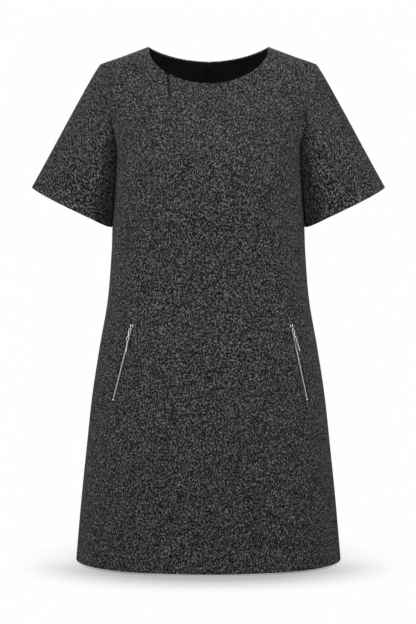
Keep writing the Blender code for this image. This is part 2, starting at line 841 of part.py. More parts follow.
def arch(down, radius):
    """Points of an arch: up one leg, half way round the hinge, and down the other leg."""
    points = [(down - radius, CROWN_FOOT)]
    for k in range(CROWN_STEPS + 1):
        turn = pi - pi * k / CROWN_STEPS
        points.append((down + radius * cos(turn), PULL_HEIGHT + radius * sin(turn)))
    points.append((down + radius, CROWN_FOOT))
    return points


def make_slider(name, place, finish, plate, neck, under, hinge_down):
    """Two plates, their neck, and the crown that the ring of the pull hangs from."""
    sides = (arch(hinge_down, CROWN_OUTER), arch(hinge_down, CROWN_INNER))
    crown = turned(ribbon(*sides, -CROWN_HALF, CROWN_HALF))
    fused(name, (prism(plate, *PLATE_OUT), block(*neck), block(*under), crown), finish, place)


def circle(radius):
    turns = [2 * pi * k / RING_SIDES for k in range(RING_SIDES)]
    return [(radius * cos(turn), RING_DOWN + radius * sin(turn)) for turn in turns]


def make_pull(name, place, finish, shaft):
    """A ring head round the crown and a flat shaft below it. Its origin is on its hinge."""
    lean = Matrix.Rotation(PULL_REST_TILT, 4, "X")
    ring = ribbon(circle(RING_OUTER), circle(RING_INNER), -RING_HALF_THICK, RING_HALF_THICK, closed=True)
    bar = prism(shaft, -SHAFT_HALF_THICK, SHAFT_HALF_THICK)
    leaned = [([lean @ Vector(v) for v in verts], faces) for verts, faces in (ring, bar)]
    fused(name, leaned, finish, place)


def hinge_place(line, s):
    """Where a pull turns: over the zip's middle, at the height of the crown's opening."""
    place = line.rigid(s)
    place.translation = place @ Vector((0.0, 0.0, PULL_HEIGHT))
    return place


def make_pocket_zip(row, front):
    grid, normals = front
    values = dict(zip(ZIP_COLUMNS, row))
    name = values["name"]
    side = values["side"]
    last = 2 * HALF_COLUMNS
    outer_column = SLIT_COLUMN if side < 0 else last - SLIT_COLUMN
    inner_column = SLIT_COLUMN + 1 if side < 0 else last - SLIT_COLUMN - 1
    rows = range(skirt_row(SLIT_TOP), skirt_row(SLIT_BOTTOM) + 1)
    middle = [(grid[r][outer_column] + grid[r][inner_column]) / 2 for r in rows]
    out = [(normals[r][outer_column] + normals[r][inner_column]).normalized() for r in rows]
    line = ZipLine(middle, out)

    back = move_back(grid, normals, CLOTH)
    reach = TAPE_REACH - SLIT_HALF
    for label, near, far in (("tape_side", outer_column, outer_column + side),
                             ("tape_front", inner_column, inner_column - side)):
        edges = []
        for r in rows:
            away = back[r][far] - back[r][near]
            step = away.normalized()
            far_normal = mix(normals[r][near], normals[r][far], reach / away.length).normalized()
            edges.append(((back[r][near] - step * (SLIT_HALF - TAPE_HALF_GAP), normals[r][near]),
                          (back[r][near] + step * reach, far_normal)))
        tape(f"{name}_{label}", edges)

    end = line.lengths[-1]
    teeth_across = (-TEETH_HALF, TEETH_HALF)
    line.strip(f"{name}_chain", TEETH_START, end - TEETH_END_GAP, teeth_across, TEETH_OUT, nickel())
    stop_start, stop_end = (end - gap for gap in BOTTOM_STOP_GAPS)
    stop_across = (-BOTTOM_STOP_HALF, BOTTOM_STOP_HALF)
    line.strip(f"{name}_stop_bottom", stop_start, stop_end, stop_across, BOTTOM_STOP_OUT, nickel())
    stop_end = TOP_STOP_START + TOP_STOP_LENGTH
    for label, turn in (("a", 1), ("b", -1)):
        stop_across = (turn * TOP_STOP_INNER, turn * TOP_STOP_OUTER)
        line.strip(f"{name}_stop_top_{label}", TOP_STOP_START, stop_end, stop_across, TOP_STOP_OUT, nickel())

    place = line.rigid(SLIDER_START)
    make_slider(f"{name}_slider", place, nickel(), PLATE_OUTLINE, NECK_BLOCK, UNDER_BLOCK, HINGE_DOWN)
    turn = Matrix.Rotation(radians(values["pull_turn"]), 4, "Z")
    hinge = hinge_place(line, SLIDER_START + HINGE_DOWN) @ turn
    make_pull(f"{name}_pull", hinge, nickel(), POCKET_SHAFT)


def make_back_zip(backs):
    """Concealed zip behind the centre-back seam: only its crown and pull show, at the neck."""
    grid, normals = backs[1]
    rows = [*range(YOKE_ROWS + 1), *(skirt_row(drop) for drop in SKIRT_DROPS if drop < BACK_ZIP_END)]
    out = [without(normals[r][HALF_COLUMNS], 0) for r in rows]
    line = ZipLine([Vector((0.0, grid[r][HALF_COLUMNS].y, grid[r][HALF_COLUMNS].z)) for r in rows], out)
    for side, label in ((-1, "tape_left"), (1, "tape_right")):
        back = move_back(*backs[side], CLOTH)
        near = 0 if side < 0 else HALF_COLUMNS
        edges = []
        for r, normal in zip(rows, out):
            edge = back[r][near]
            away = back[r][near - side] - edge
            shares = [(side * x - edge.x) / away.x for x in (BACK_TAPE_INNER, BACK_TAPE_REACH)]
            edges.append([(edge + away * share, normal) for share in shares])
        tape(f"back_zip_{label}", edges)

    coil_end = line.lengths[-1] - COIL_END_GAP
    line.strip("back_zip_coil", COIL_START, coil_end, (-COIL_HALF, COIL_HALF), COIL_OUT, dark_enamel())
    make_slider("back_zip_slider", line.rigid(BACK_SLIDER_START), dark_enamel(),
                BACK_PLATE_OUTLINE, BACK_NECK_BLOCK, BACK_UNDER_BLOCK, BACK_HINGE_DOWN)
    hinge = hinge_place(line, BACK_SLIDER_START + BACK_HINGE_DOWN)
    make_pull("back_zip_pull", hinge, dark_enamel(), DROP_SHAFT)


# ---- the dress ----------------------------------------------------------------------------------

def make_dress():
    front = front_grid()
    backs = {-1: back_grid(-1), 1: back_grid(1)}
    wall("front", front[0], move_back(*front, CLOTH), tweed(), keep=lambda r, c: not slit_cell(r, c))
    wall("back_left", backs[-1][0], move_back(*backs[-1], CLOTH), tweed())
    wall("back_right", backs[1][0], move_back(*backs[1], CLOTH), tweed())
    for side, name in ((-1, "sleeve_left"), (1, "sleeve_right")):
        last = 2 * HALF_COLUMNS
        front_edge = edge_frames(*front, 0 if side < 0 else last, 1 if side < 0 else -1)
        back_edge = edge_frames(*backs[side], HALF_COLUMNS if side < 0 else 0, -1 if side < 0 else 1)
        grid, normals = sleeve_grid(side, front_edge, back_edge)
        wall(name, grid, move_back(grid, normals, CLOTH), tweed(), closed=True)
    make_facings(front, backs)
    for row in ZIPS:
        make_pocket_zip(row, front)
    make_back_zip(backs)


for old in list(bpy.data.objects):
    bpy.data.objects.remove(old)
make_dress()
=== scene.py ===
# %% [markdown]
# # A tweed shift dress
# The dress is loose and A-line, with short set-in sleeves, a round faced neck, a slanted metal zip on each
# hip and a concealed zip down the back. It hangs as if it were worn, so it is built as a hollow form. We
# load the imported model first, because every piece made here has to sit where a solid of that model sits.

# %% Load the frame
from math import asin, atan, copysign, cos, exp, hypot, pi, radians, sin, sqrt, tan

import bmesh
import bpy
from mathutils import Matrix, Vector
from mathutils.bvhtree import BVHTree


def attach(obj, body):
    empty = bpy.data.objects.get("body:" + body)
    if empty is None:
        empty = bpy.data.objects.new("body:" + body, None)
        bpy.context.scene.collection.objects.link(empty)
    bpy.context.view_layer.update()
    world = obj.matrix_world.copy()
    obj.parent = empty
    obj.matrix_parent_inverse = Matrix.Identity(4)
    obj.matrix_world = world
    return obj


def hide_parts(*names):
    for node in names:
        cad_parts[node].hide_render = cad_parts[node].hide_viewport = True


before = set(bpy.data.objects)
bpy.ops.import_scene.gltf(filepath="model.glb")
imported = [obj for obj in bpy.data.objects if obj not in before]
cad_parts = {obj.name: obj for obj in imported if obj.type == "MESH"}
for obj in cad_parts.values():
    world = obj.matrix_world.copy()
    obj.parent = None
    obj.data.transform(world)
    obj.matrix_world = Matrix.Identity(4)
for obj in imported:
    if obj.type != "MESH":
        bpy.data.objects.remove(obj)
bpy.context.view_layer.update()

MM = 0.001

# %% [markdown]
# # Camera
# The camera stands level with the middle of the skirt, two metres away, and looks straight at the front. A
# long lens keeps the perspective gentle, as in catalogue pictures.

# %% Camera
CAMERA_PLACE = (-0.0007, -1.995, -0.4406)
SENSOR = 36.0
FOCAL_LENGTH = 69.3
lens = bpy.data.cameras.new("camera")
lens.sensor_width = SENSOR
lens.lens = FOCAL_LENGTH
camera = bpy.data.objects.new("camera", lens)
camera.location = CAMERA_PLACE
camera.rotation_euler = (radians(90.0), 0.0, 0.0)
bpy.context.scene.collection.objects.link(camera)
bpy.context.scene.camera = camera
print("camera", CAMERA_PLACE, "lens", FOCAL_LENGTH, "mm")

# %% [markdown]
# # Floor and light
# The floor is a plain white sheet just under the hem, as bright as the background, so that the two run
# together. For the camera it glows white, and the soft dark line where cloth comes close to it is a painted
# shadow: an Ambient Occlusion node, which is 1 in the open and falls wherever something stands within its
# reach, darkens that glow. A mask on the floor's place keeps the painted shadow in front of the dress and
# fades most of it out beside it. The light is a soft lamp in front, a stronger one on each side of it above
# the shoulders, a weak one at each side and one for the back. The cloth gets little light from the surround,
# but metal mirrors a brighter one, as it would in a white studio.

# %% Sizes of the floor and the light
FLOOR_LEVEL = -0.852
FLOOR_SIZE = 24.0
WHITE = 0.991
# how far from the dress the painted shadow on the floor reaches
PAINTED_SHADOW_REACH = 0.115
# how dark the painted shadow makes the floor by how open it is, and how much of that painted shadow is kept
# beside the dress and before it
PAINTED_SHADOW_TONES = ((0.36, 0.14), (0.99, WHITE))
PAINTED_SHADOW_SIDE_SHARE = 0.3
SIDE_Y = 0.02
FRONT_Y = -0.11
FLOOR_THROWN = 0.08
WORLD_LIGHT = 0.05
MIRRORED_LIGHT = 0.45
# name, place, target, width, height, watts
LAMPS = (
    ("key", (0.0, -1.7, 0.12), (0.0, 0.0, -0.2), 1.0, 0.5, 6.5),
    ("front_left", (-1.9, -1.3, 0.4), (0.0, 0.0, 0.3), 0.8, 0.7, 14.5),
    ("front_right", (1.9, -1.3, 0.4), (0.0, 0.0, 0.3), 0.8, 0.7, 14.5),
    ("left_edge", (-1.9, 0.1, 0.0), (0.0, 0.0, -0.5), 0.7, 1.8, 1.6),
    ("right_edge", (1.9, 0.1, 0.0), (0.0, 0.0, -0.5), 0.7, 1.8, 1.6),
    ("back", (0.0, 1.5, 1.1), (0.0, 0.0, -0.3), 1.4, 0.9, 22.0),
)
scene = bpy.context.scene
scene.view_settings.view_transform = "Standard"
scene.view_settings.look = "None"
print("floor", FLOOR_LEVEL, "lamps", [lamp[0] for lamp in LAMPS])

# %% Node helpers


def grey(level):
    return (level, level, level, 1.0)


def add_node(tree, kind, inputs=None, **settings):
    """A new shader node, with the values of some inputs and settings."""
    node = tree.nodes.new(f"ShaderNode{kind}")
    for label, value in (inputs or {}).items():
        node.inputs[label].default_value = value
    for label, value in settings.items():
        setattr(node, label, value)
    return node


def join_nodes(tree, pairs):
    """Links sockets: each pair is (node, output name or number, node, input name or number)."""
    for source, output, target, entry in pairs:
        tree.links.new(source.outputs[output], target.inputs[entry])


def emptied_tree(owner):
    """The node tree of a world or a material, with nothing in it."""
    owner.use_nodes = True
    owner.node_tree.nodes.clear()
    return owner.node_tree


# %% The world
scene.world = bpy.data.worlds.new("studio")
tree = emptied_tree(scene.world)
seen = add_node(tree, "Background", {"Color": grey(WHITE), "Strength": 1.0})
light = add_node(tree, "Background", {"Color": grey(1.0)})
path = add_node(tree, "LightPath")
amount = add_node(tree, "Math", {1: MIRRORED_LIGHT, 2: WORLD_LIGHT}, operation="MULTIPLY_ADD")
choice = add_node(tree, "MixShader")
sky = add_node(tree, "OutputWorld")
join_nodes(tree, [(path, "Is Glossy Ray", amount, 0), (amount, 0, light, "Strength"),
                  (path, "Is Camera Ray", choice, 0), (light, 0, choice, 1), (seen, 0, choice, 2),
                  (choice, 0, sky, "Surface")])
print("surround", WORLD_LIGHT, "for cloth,", MIRRORED_LIGHT + WORLD_LIGHT, "for metal")

# %% The floor
bpy.ops.object.select_all(action="DESELECT")
bpy.ops.mesh.primitive_plane_add(size=FLOOR_SIZE, location=(0.0, 0.0, FLOOR_LEVEL))
floor = bpy.context.object
floor.name = "floor"
paper = bpy.data.materials.new("floor_paper")
tree = emptied_tree(paper)
# painted shadow: ambient occlusion sets the colour of the floor's glow as the camera sees it
painted_shadow_ao = add_node(tree, "AmbientOcclusion", {"Distance": PAINTED_SHADOW_REACH})
painted_shadow_ramp = add_node(tree, "ValToRGB")
for stop, (position, level) in zip(painted_shadow_ramp.color_ramp.elements, PAINTED_SHADOW_TONES):
    stop.position = position
    stop.color = grey(level)
seen = add_node(tree, "Emission")
lit = add_node(tree, "Emission", {"Color": grey(WHITE)})
thrown = add_node(tree, "BsdfDiffuse", {"Color": grey(FLOOR_THROWN)})
path = add_node(tree, "LightPath")
choice = add_node(tree, "MixShader")
out = add_node(tree, "OutputMaterial")
place = add_node(tree, "NewGeometry")
parts = add_node(tree, "SeparateXYZ")
# painted shadow mask: by the floor's place, the painted shadow is kept in front of the dress and mostly faded
# out beside it
painted_shadow_shares = {"From Min": SIDE_Y, "From Max": FRONT_Y, "To Min": PAINTED_SHADOW_SIDE_SHARE, "To Max": 1.0}
ahead = add_node(tree, "MapRange", painted_shadow_shares, interpolation_type="SMOOTHSTEP")
painted_shadow_faded = add_node(tree, "MixShader")
join_nodes(tree, [(painted_shadow_ao, "AO", painted_shadow_ramp, 0), (painted_shadow_ramp, 0, seen, "Color"),
                  (place, "Position", parts, 0), (parts, "Y", ahead, "Value"),
                  (ahead, 0, painted_shadow_faded, 0), (lit, 0, painted_shadow_faded, 1), (seen, 0, painted_shadow_faded, 2),
                  (path, "Is Camera Ray", choice, 0), (thrown, 0, choice, 1), (painted_shadow_faded, 0, choice, 2),
                  (choice, 0, out, "Surface")])
floor.data.materials.append(paper)
print("floor", len(tree.nodes), "nodes")

# %% The lamps
for name, place, target, width, height, watts in LAMPS:
    data = bpy.data.lights.new(name, "AREA")
    data.shape = "RECTANGLE"
    data.size = width
    data.size_y = height
    data.energy = watts
    lamp = bpy.data.objects.new(name, data)
    lamp.location = place
    lamp.rotation_euler = (Vector(target) - Vector(place)).to_track_quat("-Z", "Y").to_euler()
    scene.collection.objects.link(lamp)
print("lamps", sum(lamp[-1] for lamp in LAMPS), "watts in all")

# %% [markdown]
# # Finishes
# Tweed of this kind is a loose plain weave of looped and knotted yarn, charcoal with lighter flecks, so it
# has no clear threads: it shows short worms of light and dark about two millimetres wide. A noise that is
# folded about its middle gives such worms. The pattern lies on each piece's own UV map, measured in metres
# along the cloth, so that the grain goes round the body and down the sleeve as it does on cut cloth. What
# more than one finish needs is a node group: the looped yarn, a fine weave, and small wear for metal.

# %% Group helpers


def new_group(name, inputs, outputs):
    """An empty shader node group with float inputs, plus a vector one called Place."""
    group = bpy.data.node_groups.new(name, "ShaderNodeTree")
    group.interface.new_socket(name="Place", in_out="INPUT", socket_type="NodeSocketVector")
    for label, value in inputs:
        made = group.interface.new_socket(name=label, in_out="INPUT", socket_type="NodeSocketFloat")
        made.default_value = value
    for label, kind in outputs:
        group.interface.new_socket(name=label, in_out="OUTPUT", socket_type=kind)
    return group, group.nodes.new("NodeGroupInput"), group.nodes.new("NodeGroupOutput")


def add_math(tree, operation, first, second, clamp=False):
    """A Math node. Each operand is a number or a (node, output) pair."""
    node = add_node(tree, "Math", operation=operation, use_clamp=clamp)
    for i, value in enumerate((first, second)):
        if isinstance(value, tuple):
            tree.links.new(value[0].outputs[value[1]], node.inputs[i])
        else:
            node.inputs[i].default_value = value
    return node


def add_noise(tree, vector, scale, detail, roughness, distortion=0.0, dimensions="2D"):
    values = {"Scale": scale, "Detail": detail, "Roughness": roughness, "Distortion": distortion}
    node = add_node(tree, "TexNoise", values, noise_dimensions=dimensions)
    tree.links.new(vector[0].outputs[vector[1]], node.inputs["Vector"])
    return node


# %% The looped yarn
SHADE_AND_HEIGHT = [("Shade", "NodeSocketFloat"), ("Height", "NodeSocketFloat")]
WORM_STRETCH = (1.1, 0.78, 1.0)
# each noise's scale, detail, roughness and distortion
WORMS = (265.0, 1.0, 0.5, 1.5)
KNOTS = (470.0, 1.0, 0.5, 0.8)
HAIRS = (2300.0, 1.0, 0.6)
WORM_FALL = -9.0
WORM_SHARE = 1.5
KNOT_SHARE = 8.0
HAIR_SHARE = 0.25
SHADE_SHIFT = -0.72
yarn_group, entry, leave = new_group("looped_yarn", [("Size", 1.0)], SHADE_AND_HEIGHT)
sized = add_node(yarn_group, "VectorMath", operation="SCALE")
tall = add_node(yarn_group, "Mapping", {"Scale": WORM_STRETCH})
join_nodes(yarn_group, [(entry, "Place", sized, 0), (entry, "Size", sized, "Scale"),
                        (sized, 0, tall, "Vector")])
loops = add_noise(yarn_group, (tall, 0), *WORMS)
centred = add_math(yarn_group, "SUBTRACT", (loops, 0), 0.5)
folded = add_math(yarn_group, "ABSOLUTE", (centred, 0), 0.0)
worms = add_math(yarn_group, "MULTIPLY", (folded, 0), WORM_FALL)
raised = add_math(yarn_group, "ADD", (worms, 0), 1.0, clamp=True)
knots = add_noise(yarn_group, (tall, 0), *KNOTS)
knotted = add_math(yarn_group, "SUBTRACT", (knots, 0), 0.5)
bright = add_math(yarn_group, "MULTIPLY", (knotted, 0), KNOT_SHARE)
hair = add_noise(yarn_group, (sized, 0), *HAIRS)
fuzz = add_math(yarn_group, "MULTIPLY", (hair, 0), HAIR_SHARE)
base = add_math(yarn_group, "MULTIPLY", (raised, 0), WORM_SHARE)
summed = add_math(yarn_group, "ADD", (base, 0), (bright, 0))
fuzzed = add_math(yarn_group, "ADD", (summed, 0), (fuzz, 0))
shade = add_math(yarn_group, "ADD", (fuzzed, 0), SHADE_SHIFT)
relief = add_math(yarn_group, "ADD", (base, 0), (fuzz, 0))
join_nodes(yarn_group, [(shade, 0, leave, "Shade"), (relief, 0, leave, "Height")])
print("looped yarn", len(yarn_group.nodes), "nodes")

# %% The fine weave of facing and tapes
SLUBS = (260.0, 2.0, 0.6)
THREAD_SHARE = 0.25
weave_group, entry, leave = new_group("fine_weave", [("Threads", 1400.0)], SHADE_AND_HEIGHT)
sized = add_node(weave_group, "VectorMath", operation="SCALE")
parts = add_node(weave_group, "SeparateXYZ")
join_nodes(weave_group, [(entry, "Place", sized, 0), (entry, "Threads", sized, "Scale"),
                         (sized, 0, parts, 0)])
across = add_math(weave_group, "SINE", (parts, "X"), 0.0)
along = add_math(weave_group, "SINE", (parts, "Y"), 0.0)
crossed = add_math(weave_group, "MULTIPLY", (across, 0), (along, 0))
slub = add_noise(weave_group, (entry, "Place"), *SLUBS)
half = add_math(weave_group, "MULTIPLY", (crossed, 0), THREAD_SHARE)
woven = add_math(weave_group, "ADD", (half, 0), (slub, 0))
join_nodes(weave_group, [(woven, 0, leave, "Shade"), (woven, 0, leave, "Height")])
print("fine weave", len(weave_group.nodes), "nodes")

# %% Small wear for metal
SCRATCHES = (900.0, 3.0, 0.6, 0.0, "3D")
CLOUDS = (160.0, 1.0, 0.5, 0.0, "3D")
wear_group, entry, leave = new_group("handled_metal", [("Grain", 900.0)], SHADE_AND_HEIGHT)
scratch = add_noise(wear_group, (entry, "Place"), *SCRATCHES)
join_nodes(wear_group, [(entry, "Grain", scratch, "Scale")])
cloud = add_noise(wear_group, (entry, "Place"), *CLOUDS)
mixed = add_math(wear_group, "MULTIPLY", (scratch, 0), (cloud, 0))
join_nodes(wear_group, [(mixed, 0, leave, "Shade"), (scratch, 0, leave, "Height")])
print("handled metal", len(wear_group.nodes), "nodes")

# %% [markdown]
# # Materials
# Each finish is a Principled shader whose colour, roughness and bump come from one of those groups. A ramp
# turns the shade into colour, which is where charcoal, mid grey and the light flecks are chosen. Sheen
# stands for the fine hairs that catch light at a grazing angle.

# %% Materials


def finish(name, group, settings, ramp, roughness, bump, coordinates="UV", **sockets):
    """A material: ramp is (position, colour) stops, roughness (low, high), bump (strength, distance)."""
    made = bpy.data.materials.new(name)
    made.use_nodes = True
    tree = made.node_tree
    shader = tree.nodes["Principled BSDF"]
    for label, value in sockets.items():
        shader.inputs[label.replace("_", " ")].default_value = value
    place = add_node(tree, "TexCoord")
    pattern = add_node(tree, "Group", node_tree=group)
    for label, value in settings.items():
        pattern.inputs[label].default_value = value
    colours = add_node(tree, "ValToRGB")
    stops = colours.color_ramp.elements
    while len(stops) < len(ramp):
        stops.new(0.5)
    for stop, (position, colour) in zip(stops, ramp):
        stop.position = position
        stop.color = (*colour, 1.0)
    rough = add_node(tree, "MapRange", {"To Min": roughness[0], "To Max": roughness[1]})
    relief = add_node(tree, "Bump", {"Strength": bump[0], "Distance": bump[1]})
    join_nodes(tree, [(place, coordinates, pattern, "Place"),
                      (pattern, "Shade", colours, 0), (colours, 0, shader, "Base Color"),
                      (pattern, "Shade", rough, 0), (rough, 0, shader, "Roughness"),
                      (pattern, "Height", relief, "Height"), (relief, 0, shader, "Normal")])
    return made


TWEED_RAMP = [(0.0, (0.006, 0.006, 0.007)), (0.25, (0.0125, 0.0128, 0.0145)), (0.5, (0.041, 0.042, 0.046)),
              (0.75, (0.155, 0.157, 0.165)), (1.0, (0.5, 0.505, 0.52))]
FINISHES = {
    "tweed": finish("tweed", yarn_group, {"Size": 1.0}, TWEED_RAMP, (0.85, 1.0), (0.8, 0.0009),
                    Sheen_Weight=0.12, Sheen_Roughness=0.5, Specular_IOR_Level=0.25),
    "facing_cloth": finish("facing_cloth", weave_group, {"Threads": 5000.0},
                           [(0.2, (0.007, 0.007, 0.008)), (0.8, (0.016, 0.016, 0.018))],
                           (0.65, 0.8), (0.25, 0.0002), Sheen_Weight=0.08, Specular_IOR_Level=0.1),
    "zip_tape": finish("zip_tape", weave_group, {"Threads": 4200.0},
                       [(0.2, (0.004, 0.004, 0.0045)), (0.8, (0.012, 0.012, 0.013))],
                       (0.7, 0.85), (0.5, 0.0003), Sheen_Weight=0.1, Specular_IOR_Level=0.1),
    "nickel": finish("nickel", wear_group, {"Grain": 900.0},
                     [(0.0, (0.7, 0.7, 0.7)), (0.4, (0.96, 0.96, 0.95))],
                     (0.34, 0.5), (0.08, 0.0001), coordinates="Object", Metallic=0.75),
    "dark_enamel": finish("dark_enamel", wear_group, {"Grain": 700.0},
                          [(0.0, (0.008, 0.008, 0.009)), (0.5, (0.02, 0.02, 0.022))],
                          (0.3, 0.5), (0.08, 0.0001), coordinates="Object", Coat_Weight=0.3),
}
print("finishes", sorted(FINISHES))

# %% [markdown]
# # The body's form
# A shift dress keeps one smooth form from chest to hem. Each horizontal section is an oval between a circle
# and a square, a superellipse, and a table gives its width and depth at some heights. Sizes are in
# millimetres, and a drop is a height measured down from the neck points. Left is the left of someone who
# faces the front.

# %% Sizes of the body
SIDES = ((-1, "left"), (1, "right"))
CLOTH = 2.2
SEAM_GAP = 0.06
NECK_HALF = 99.5
NECK_DROP = {-1: 73.0, 1: 13.5}
NECK_POWER = {-1: (2.0, 2.0), 1: (1.8, 1.1)}
SHOULDER_SLOPE = tan(radians(20.7))
SHOULDER_HALF = 178.5
SHOULDER_DROP = (SHOULDER_HALF - NECK_HALF) * SHOULDER_SLOPE
UNDERARM_DROP = 185.0
HEM_DROP = 848.0
ROUNDNESS = 2.3
# drop, half width, how far the front and the back stand out from the side seam, how far back that seam lies
SECTIONS = (
    (0.0, 99.5, 0.0, 0.0, 0.0), (4.0, 110.1, 13.0, 30.0, 0.0), (13.5, 135.2, 24.5, 54.0, 0.0),
    (SHOULDER_DROP, SHOULDER_HALF, 40.0, 66.0, 0.5), (42.0, 190.0, 50.0, 71.0, 2.0),
    (60.0, 194.0, 62.0, 76.5, 4.0), (80.0, 192.0, 74.5, 82.0, 5.0), (100.0, 188.0, 88.0, 87.0, 6.0),
    (127.0, 177.0, 104.0, 91.0, 8.0), (152.0, 164.0, 117.0, 92.0, 9.0), (185.0, 156.0, 130.0, 92.0, 10.0),
    (215.0, 156.0, 137.0, 90.5, 10.0), (260.0, 157.5, 136.0, 86.5, 10.0), (298.0, 159.5, 132.0, 83.5, 10.0),
    (341.0, 161.0, 128.5, 82.0, 10.0), (421.0, 167.5, 127.5, 86.0, 10.0), (500.0, 181.0, 130.0, 96.0, 9.0),
    (580.0, 193.2, 133.0, 103.0, 9.0), (660.0, 201.7, 135.0, 107.0, 8.0), (739.0, 209.8, 137.0, 110.0, 8.0),
    (HEM_DROP, 219.3, 140.0, 114.0, 8.0),
)
GRID_DROP = 60.0
# drop, x on the front, x on the back
ARMHOLE = (
    (SHOULDER_DROP, SHOULDER_HALF, SHOULDER_HALF), (37.0, 173.0, 174.5), (46.0, 167.5, 170.5),
    (59.0, 161.5, 166.0), (80.0, 157.0, 162.5), (100.0, 155.8, 160.5), (127.0, 154.6, 158.5),
    (152.0, 151.8, 154.8), (168.0, 150.8, 153.0), (180.0, 152.6, 153.8), (UNDERARM_DROP, 156.0, 156.0),
)
print("sections", len(SECTIONS), "from", SECTIONS[0][0], "to", SECTIONS[-1][0], "mm down")

# %% Curves, shares and sums


def smooth(xs, ys):
    """A smooth curve y(x) through the points, its slope at each read across the two beside it."""
    last = len(xs) - 1
    slopes = []
    for i in range(last + 1):
        low = max(i - 1, 0)
        high = min(i + 1, last)
        slopes.append((ys[high] - ys[low]) / (xs[high] - xs[low]))

    def value(x):
        x = min(max(x, xs[0]), xs[-1])
        i = 0
        while i < last - 1 and x > xs[i + 1]:
            i += 1
        step = xs[i + 1] - xs[i]
        t = (x - xs[i]) / step
        rise = 3 * t ** 2 - 2 * t ** 3
        start = (t - 2 * t ** 2 + t ** 3) * slopes[i]
        end = (t ** 3 - t ** 2) * slopes[i + 1]
        return ys[i] * (1 - rise) + ys[i + 1] * rise + (start + end) * step

    return value


def column(rows, number):
    return [row[number] for row in rows]


def mix(a, b, share):
    return a + (b - a) * share


def ease(x, low, high):
    """0 below low, 1 above high and a soft step between them."""
    t = min(max((x - low) / (high - low), 0.0), 1.0)
    return t * t * (3 - 2 * t)


def running(steps):
    """The sum of the steps so far, from nothing to all of them."""
    total = [0.0]
    for step in steps:
        total.append(total[-1] + step)
    return total


# %% The body's surface


def section_curve(number):
    """A section's size against the square root of the drop, which rounds the shoulders."""
    curve = smooth([sqrt(drop) for drop in column(SECTIONS, 0)], column(SECTIONS, number))
    return lambda drop: curve(sqrt(drop))


wide = section_curve(1)
DEPTH = {-1: section_curve(2), 1: section_curve(3)}
side_y = section_curve(4)


def half_width(drop):
    if drop <= SHOULDER_DROP:
        return NECK_HALF + drop / SHOULDER_SLOPE
    return wide(drop)


def body_point(facing, x, drop):
    """The outer surface at x, on the front (facing -1) or the back (facing 1)."""
    share = min(abs(x) / half_width(drop), 1.0)
    fullness = (1.0 - share ** ROUNDNESS) ** (1 / ROUNDNESS)
    return Vector((x, side_y(drop) + facing * DEPTH[facing](drop) * fullness, -drop))


def body_normal(facing, point):
    """The surface's outward normal at a point well below the shoulder seams."""
    drop = -point.z
    nudge = 0.5

    def slope(curve):
        return (curve(drop + nudge) - curve(drop - nudge)) / (2 * nudge)

    width = half_width(drop)
    depth = DEPTH[facing](drop)
    share_x = min(abs(point.x) / width, 1.0)
    share_y = abs(point.y - side_y(drop)) / depth
    steep_x = share_x ** (ROUNDNESS - 1) / width
    steep_y = share_y ** (ROUNDNESS - 1) / depth
    rise = steep_x * share_x * slope(half_width) + steep_y * share_y * slope(DEPTH[facing])
    rise += facing * steep_y * slope(side_y)
    return Vector((copysign(steep_x, point.x), facing * steep_y, rise)).normalized()


def grid_width(drop):
    return half_width(max(drop, GRID_DROP))


def to_angle(x, drop):
    return asin(min(x / grid_width(drop), 1.0) ** (ROUNDNESS / 2))


def to_x(angle, drop):
    return grid_width(drop) * max(sin(angle), 0.0) ** (2 / ROUNDNESS)


print("chest", round(2 * half_width(UNDERARM_DROP)), "mm, hem", round(2 * half_width(HEM_DROP)), "mm across")

# %% [markdown]
# # Measuring along the cloth
# A pattern on the cloth has to follow its length, not its height in space. So we measure, for each point of
# the body, how far it lies from the centre line around the body and how far down from the chest along the
# surface. Those two lengths in metres become the UV map.

# %% Lengths along the cloth
MEASURE_STEP = 6.0
MEASURE_FROM = 240.0
MEASURE_COLUMNS = 44
MEASURE_ROWS = 142


def length_tables(facing):
    """Lengths round and down the body on a table of angle and drop."""
    angles = [pi / 2 * i / MEASURE_COLUMNS for i in range(MEASURE_COLUMNS + 1)]
    drops = [MEASURE_STEP * i for i in range(MEASURE_ROWS + 1)]
    points = [[body_point(facing, min(to_x(a, d), half_width(d)), d) for a in angles] for d in drops]
    round_body = [running((b - a).length for a, b in zip(row, row[1:])) for row in points]
    down_body = []
    for i in range(len(angles)):
        total = running(min((b[i] - a[i]).length, 3 * MEASURE_STEP) for a, b in zip(points, points[1:]))
        middle = total[int(MEASURE_FROM / MEASURE_STEP)]
        down_body.append([t - middle for t in total])
    return round_body, down_body


TABLES = {facing: length_tables(facing) for facing in (-1, 1)}


def cloth_uv(facing, x, drop):
    """(round, down) in metres, read between the places of the tables."""
    round_body, down_body = TABLES[facing]
    i = min(to_angle(abs(x), drop) / (pi / 2) * MEASURE_COLUMNS, MEASURE_COLUMNS - 0.001)
    j = min(drop / MEASURE_STEP, MEASURE_ROWS - 0.001)

    def between(table, first, second):
        """A value between four places of a table, mixed along its lines first."""
        k, n = int(first), int(second)
        near, far = (mix(line[n], line[n + 1], second - n) for line in table[k:k + 2])
        return mix(near, far, first - k)

    return copysign(between(round_body, j, i), x) * MM, -between(down_body, i, j) * MM


print("half round the hem", round(TABLES[-1][0][MEASURE_ROWS - 1][MEASURE_COLUMNS]), "mm")

# %% [markdown]
# # Cutting the panels
# A dressmaker cuts the front as one piece on the fold, and the back as two. Each is a grid of points here:
# its rows run from the armhole or side seam to the centre, and near the neck they bend so that the edges
# follow the shoulder seam, the neckline and the armhole. Two columns of the front run along each pocket
# opening.

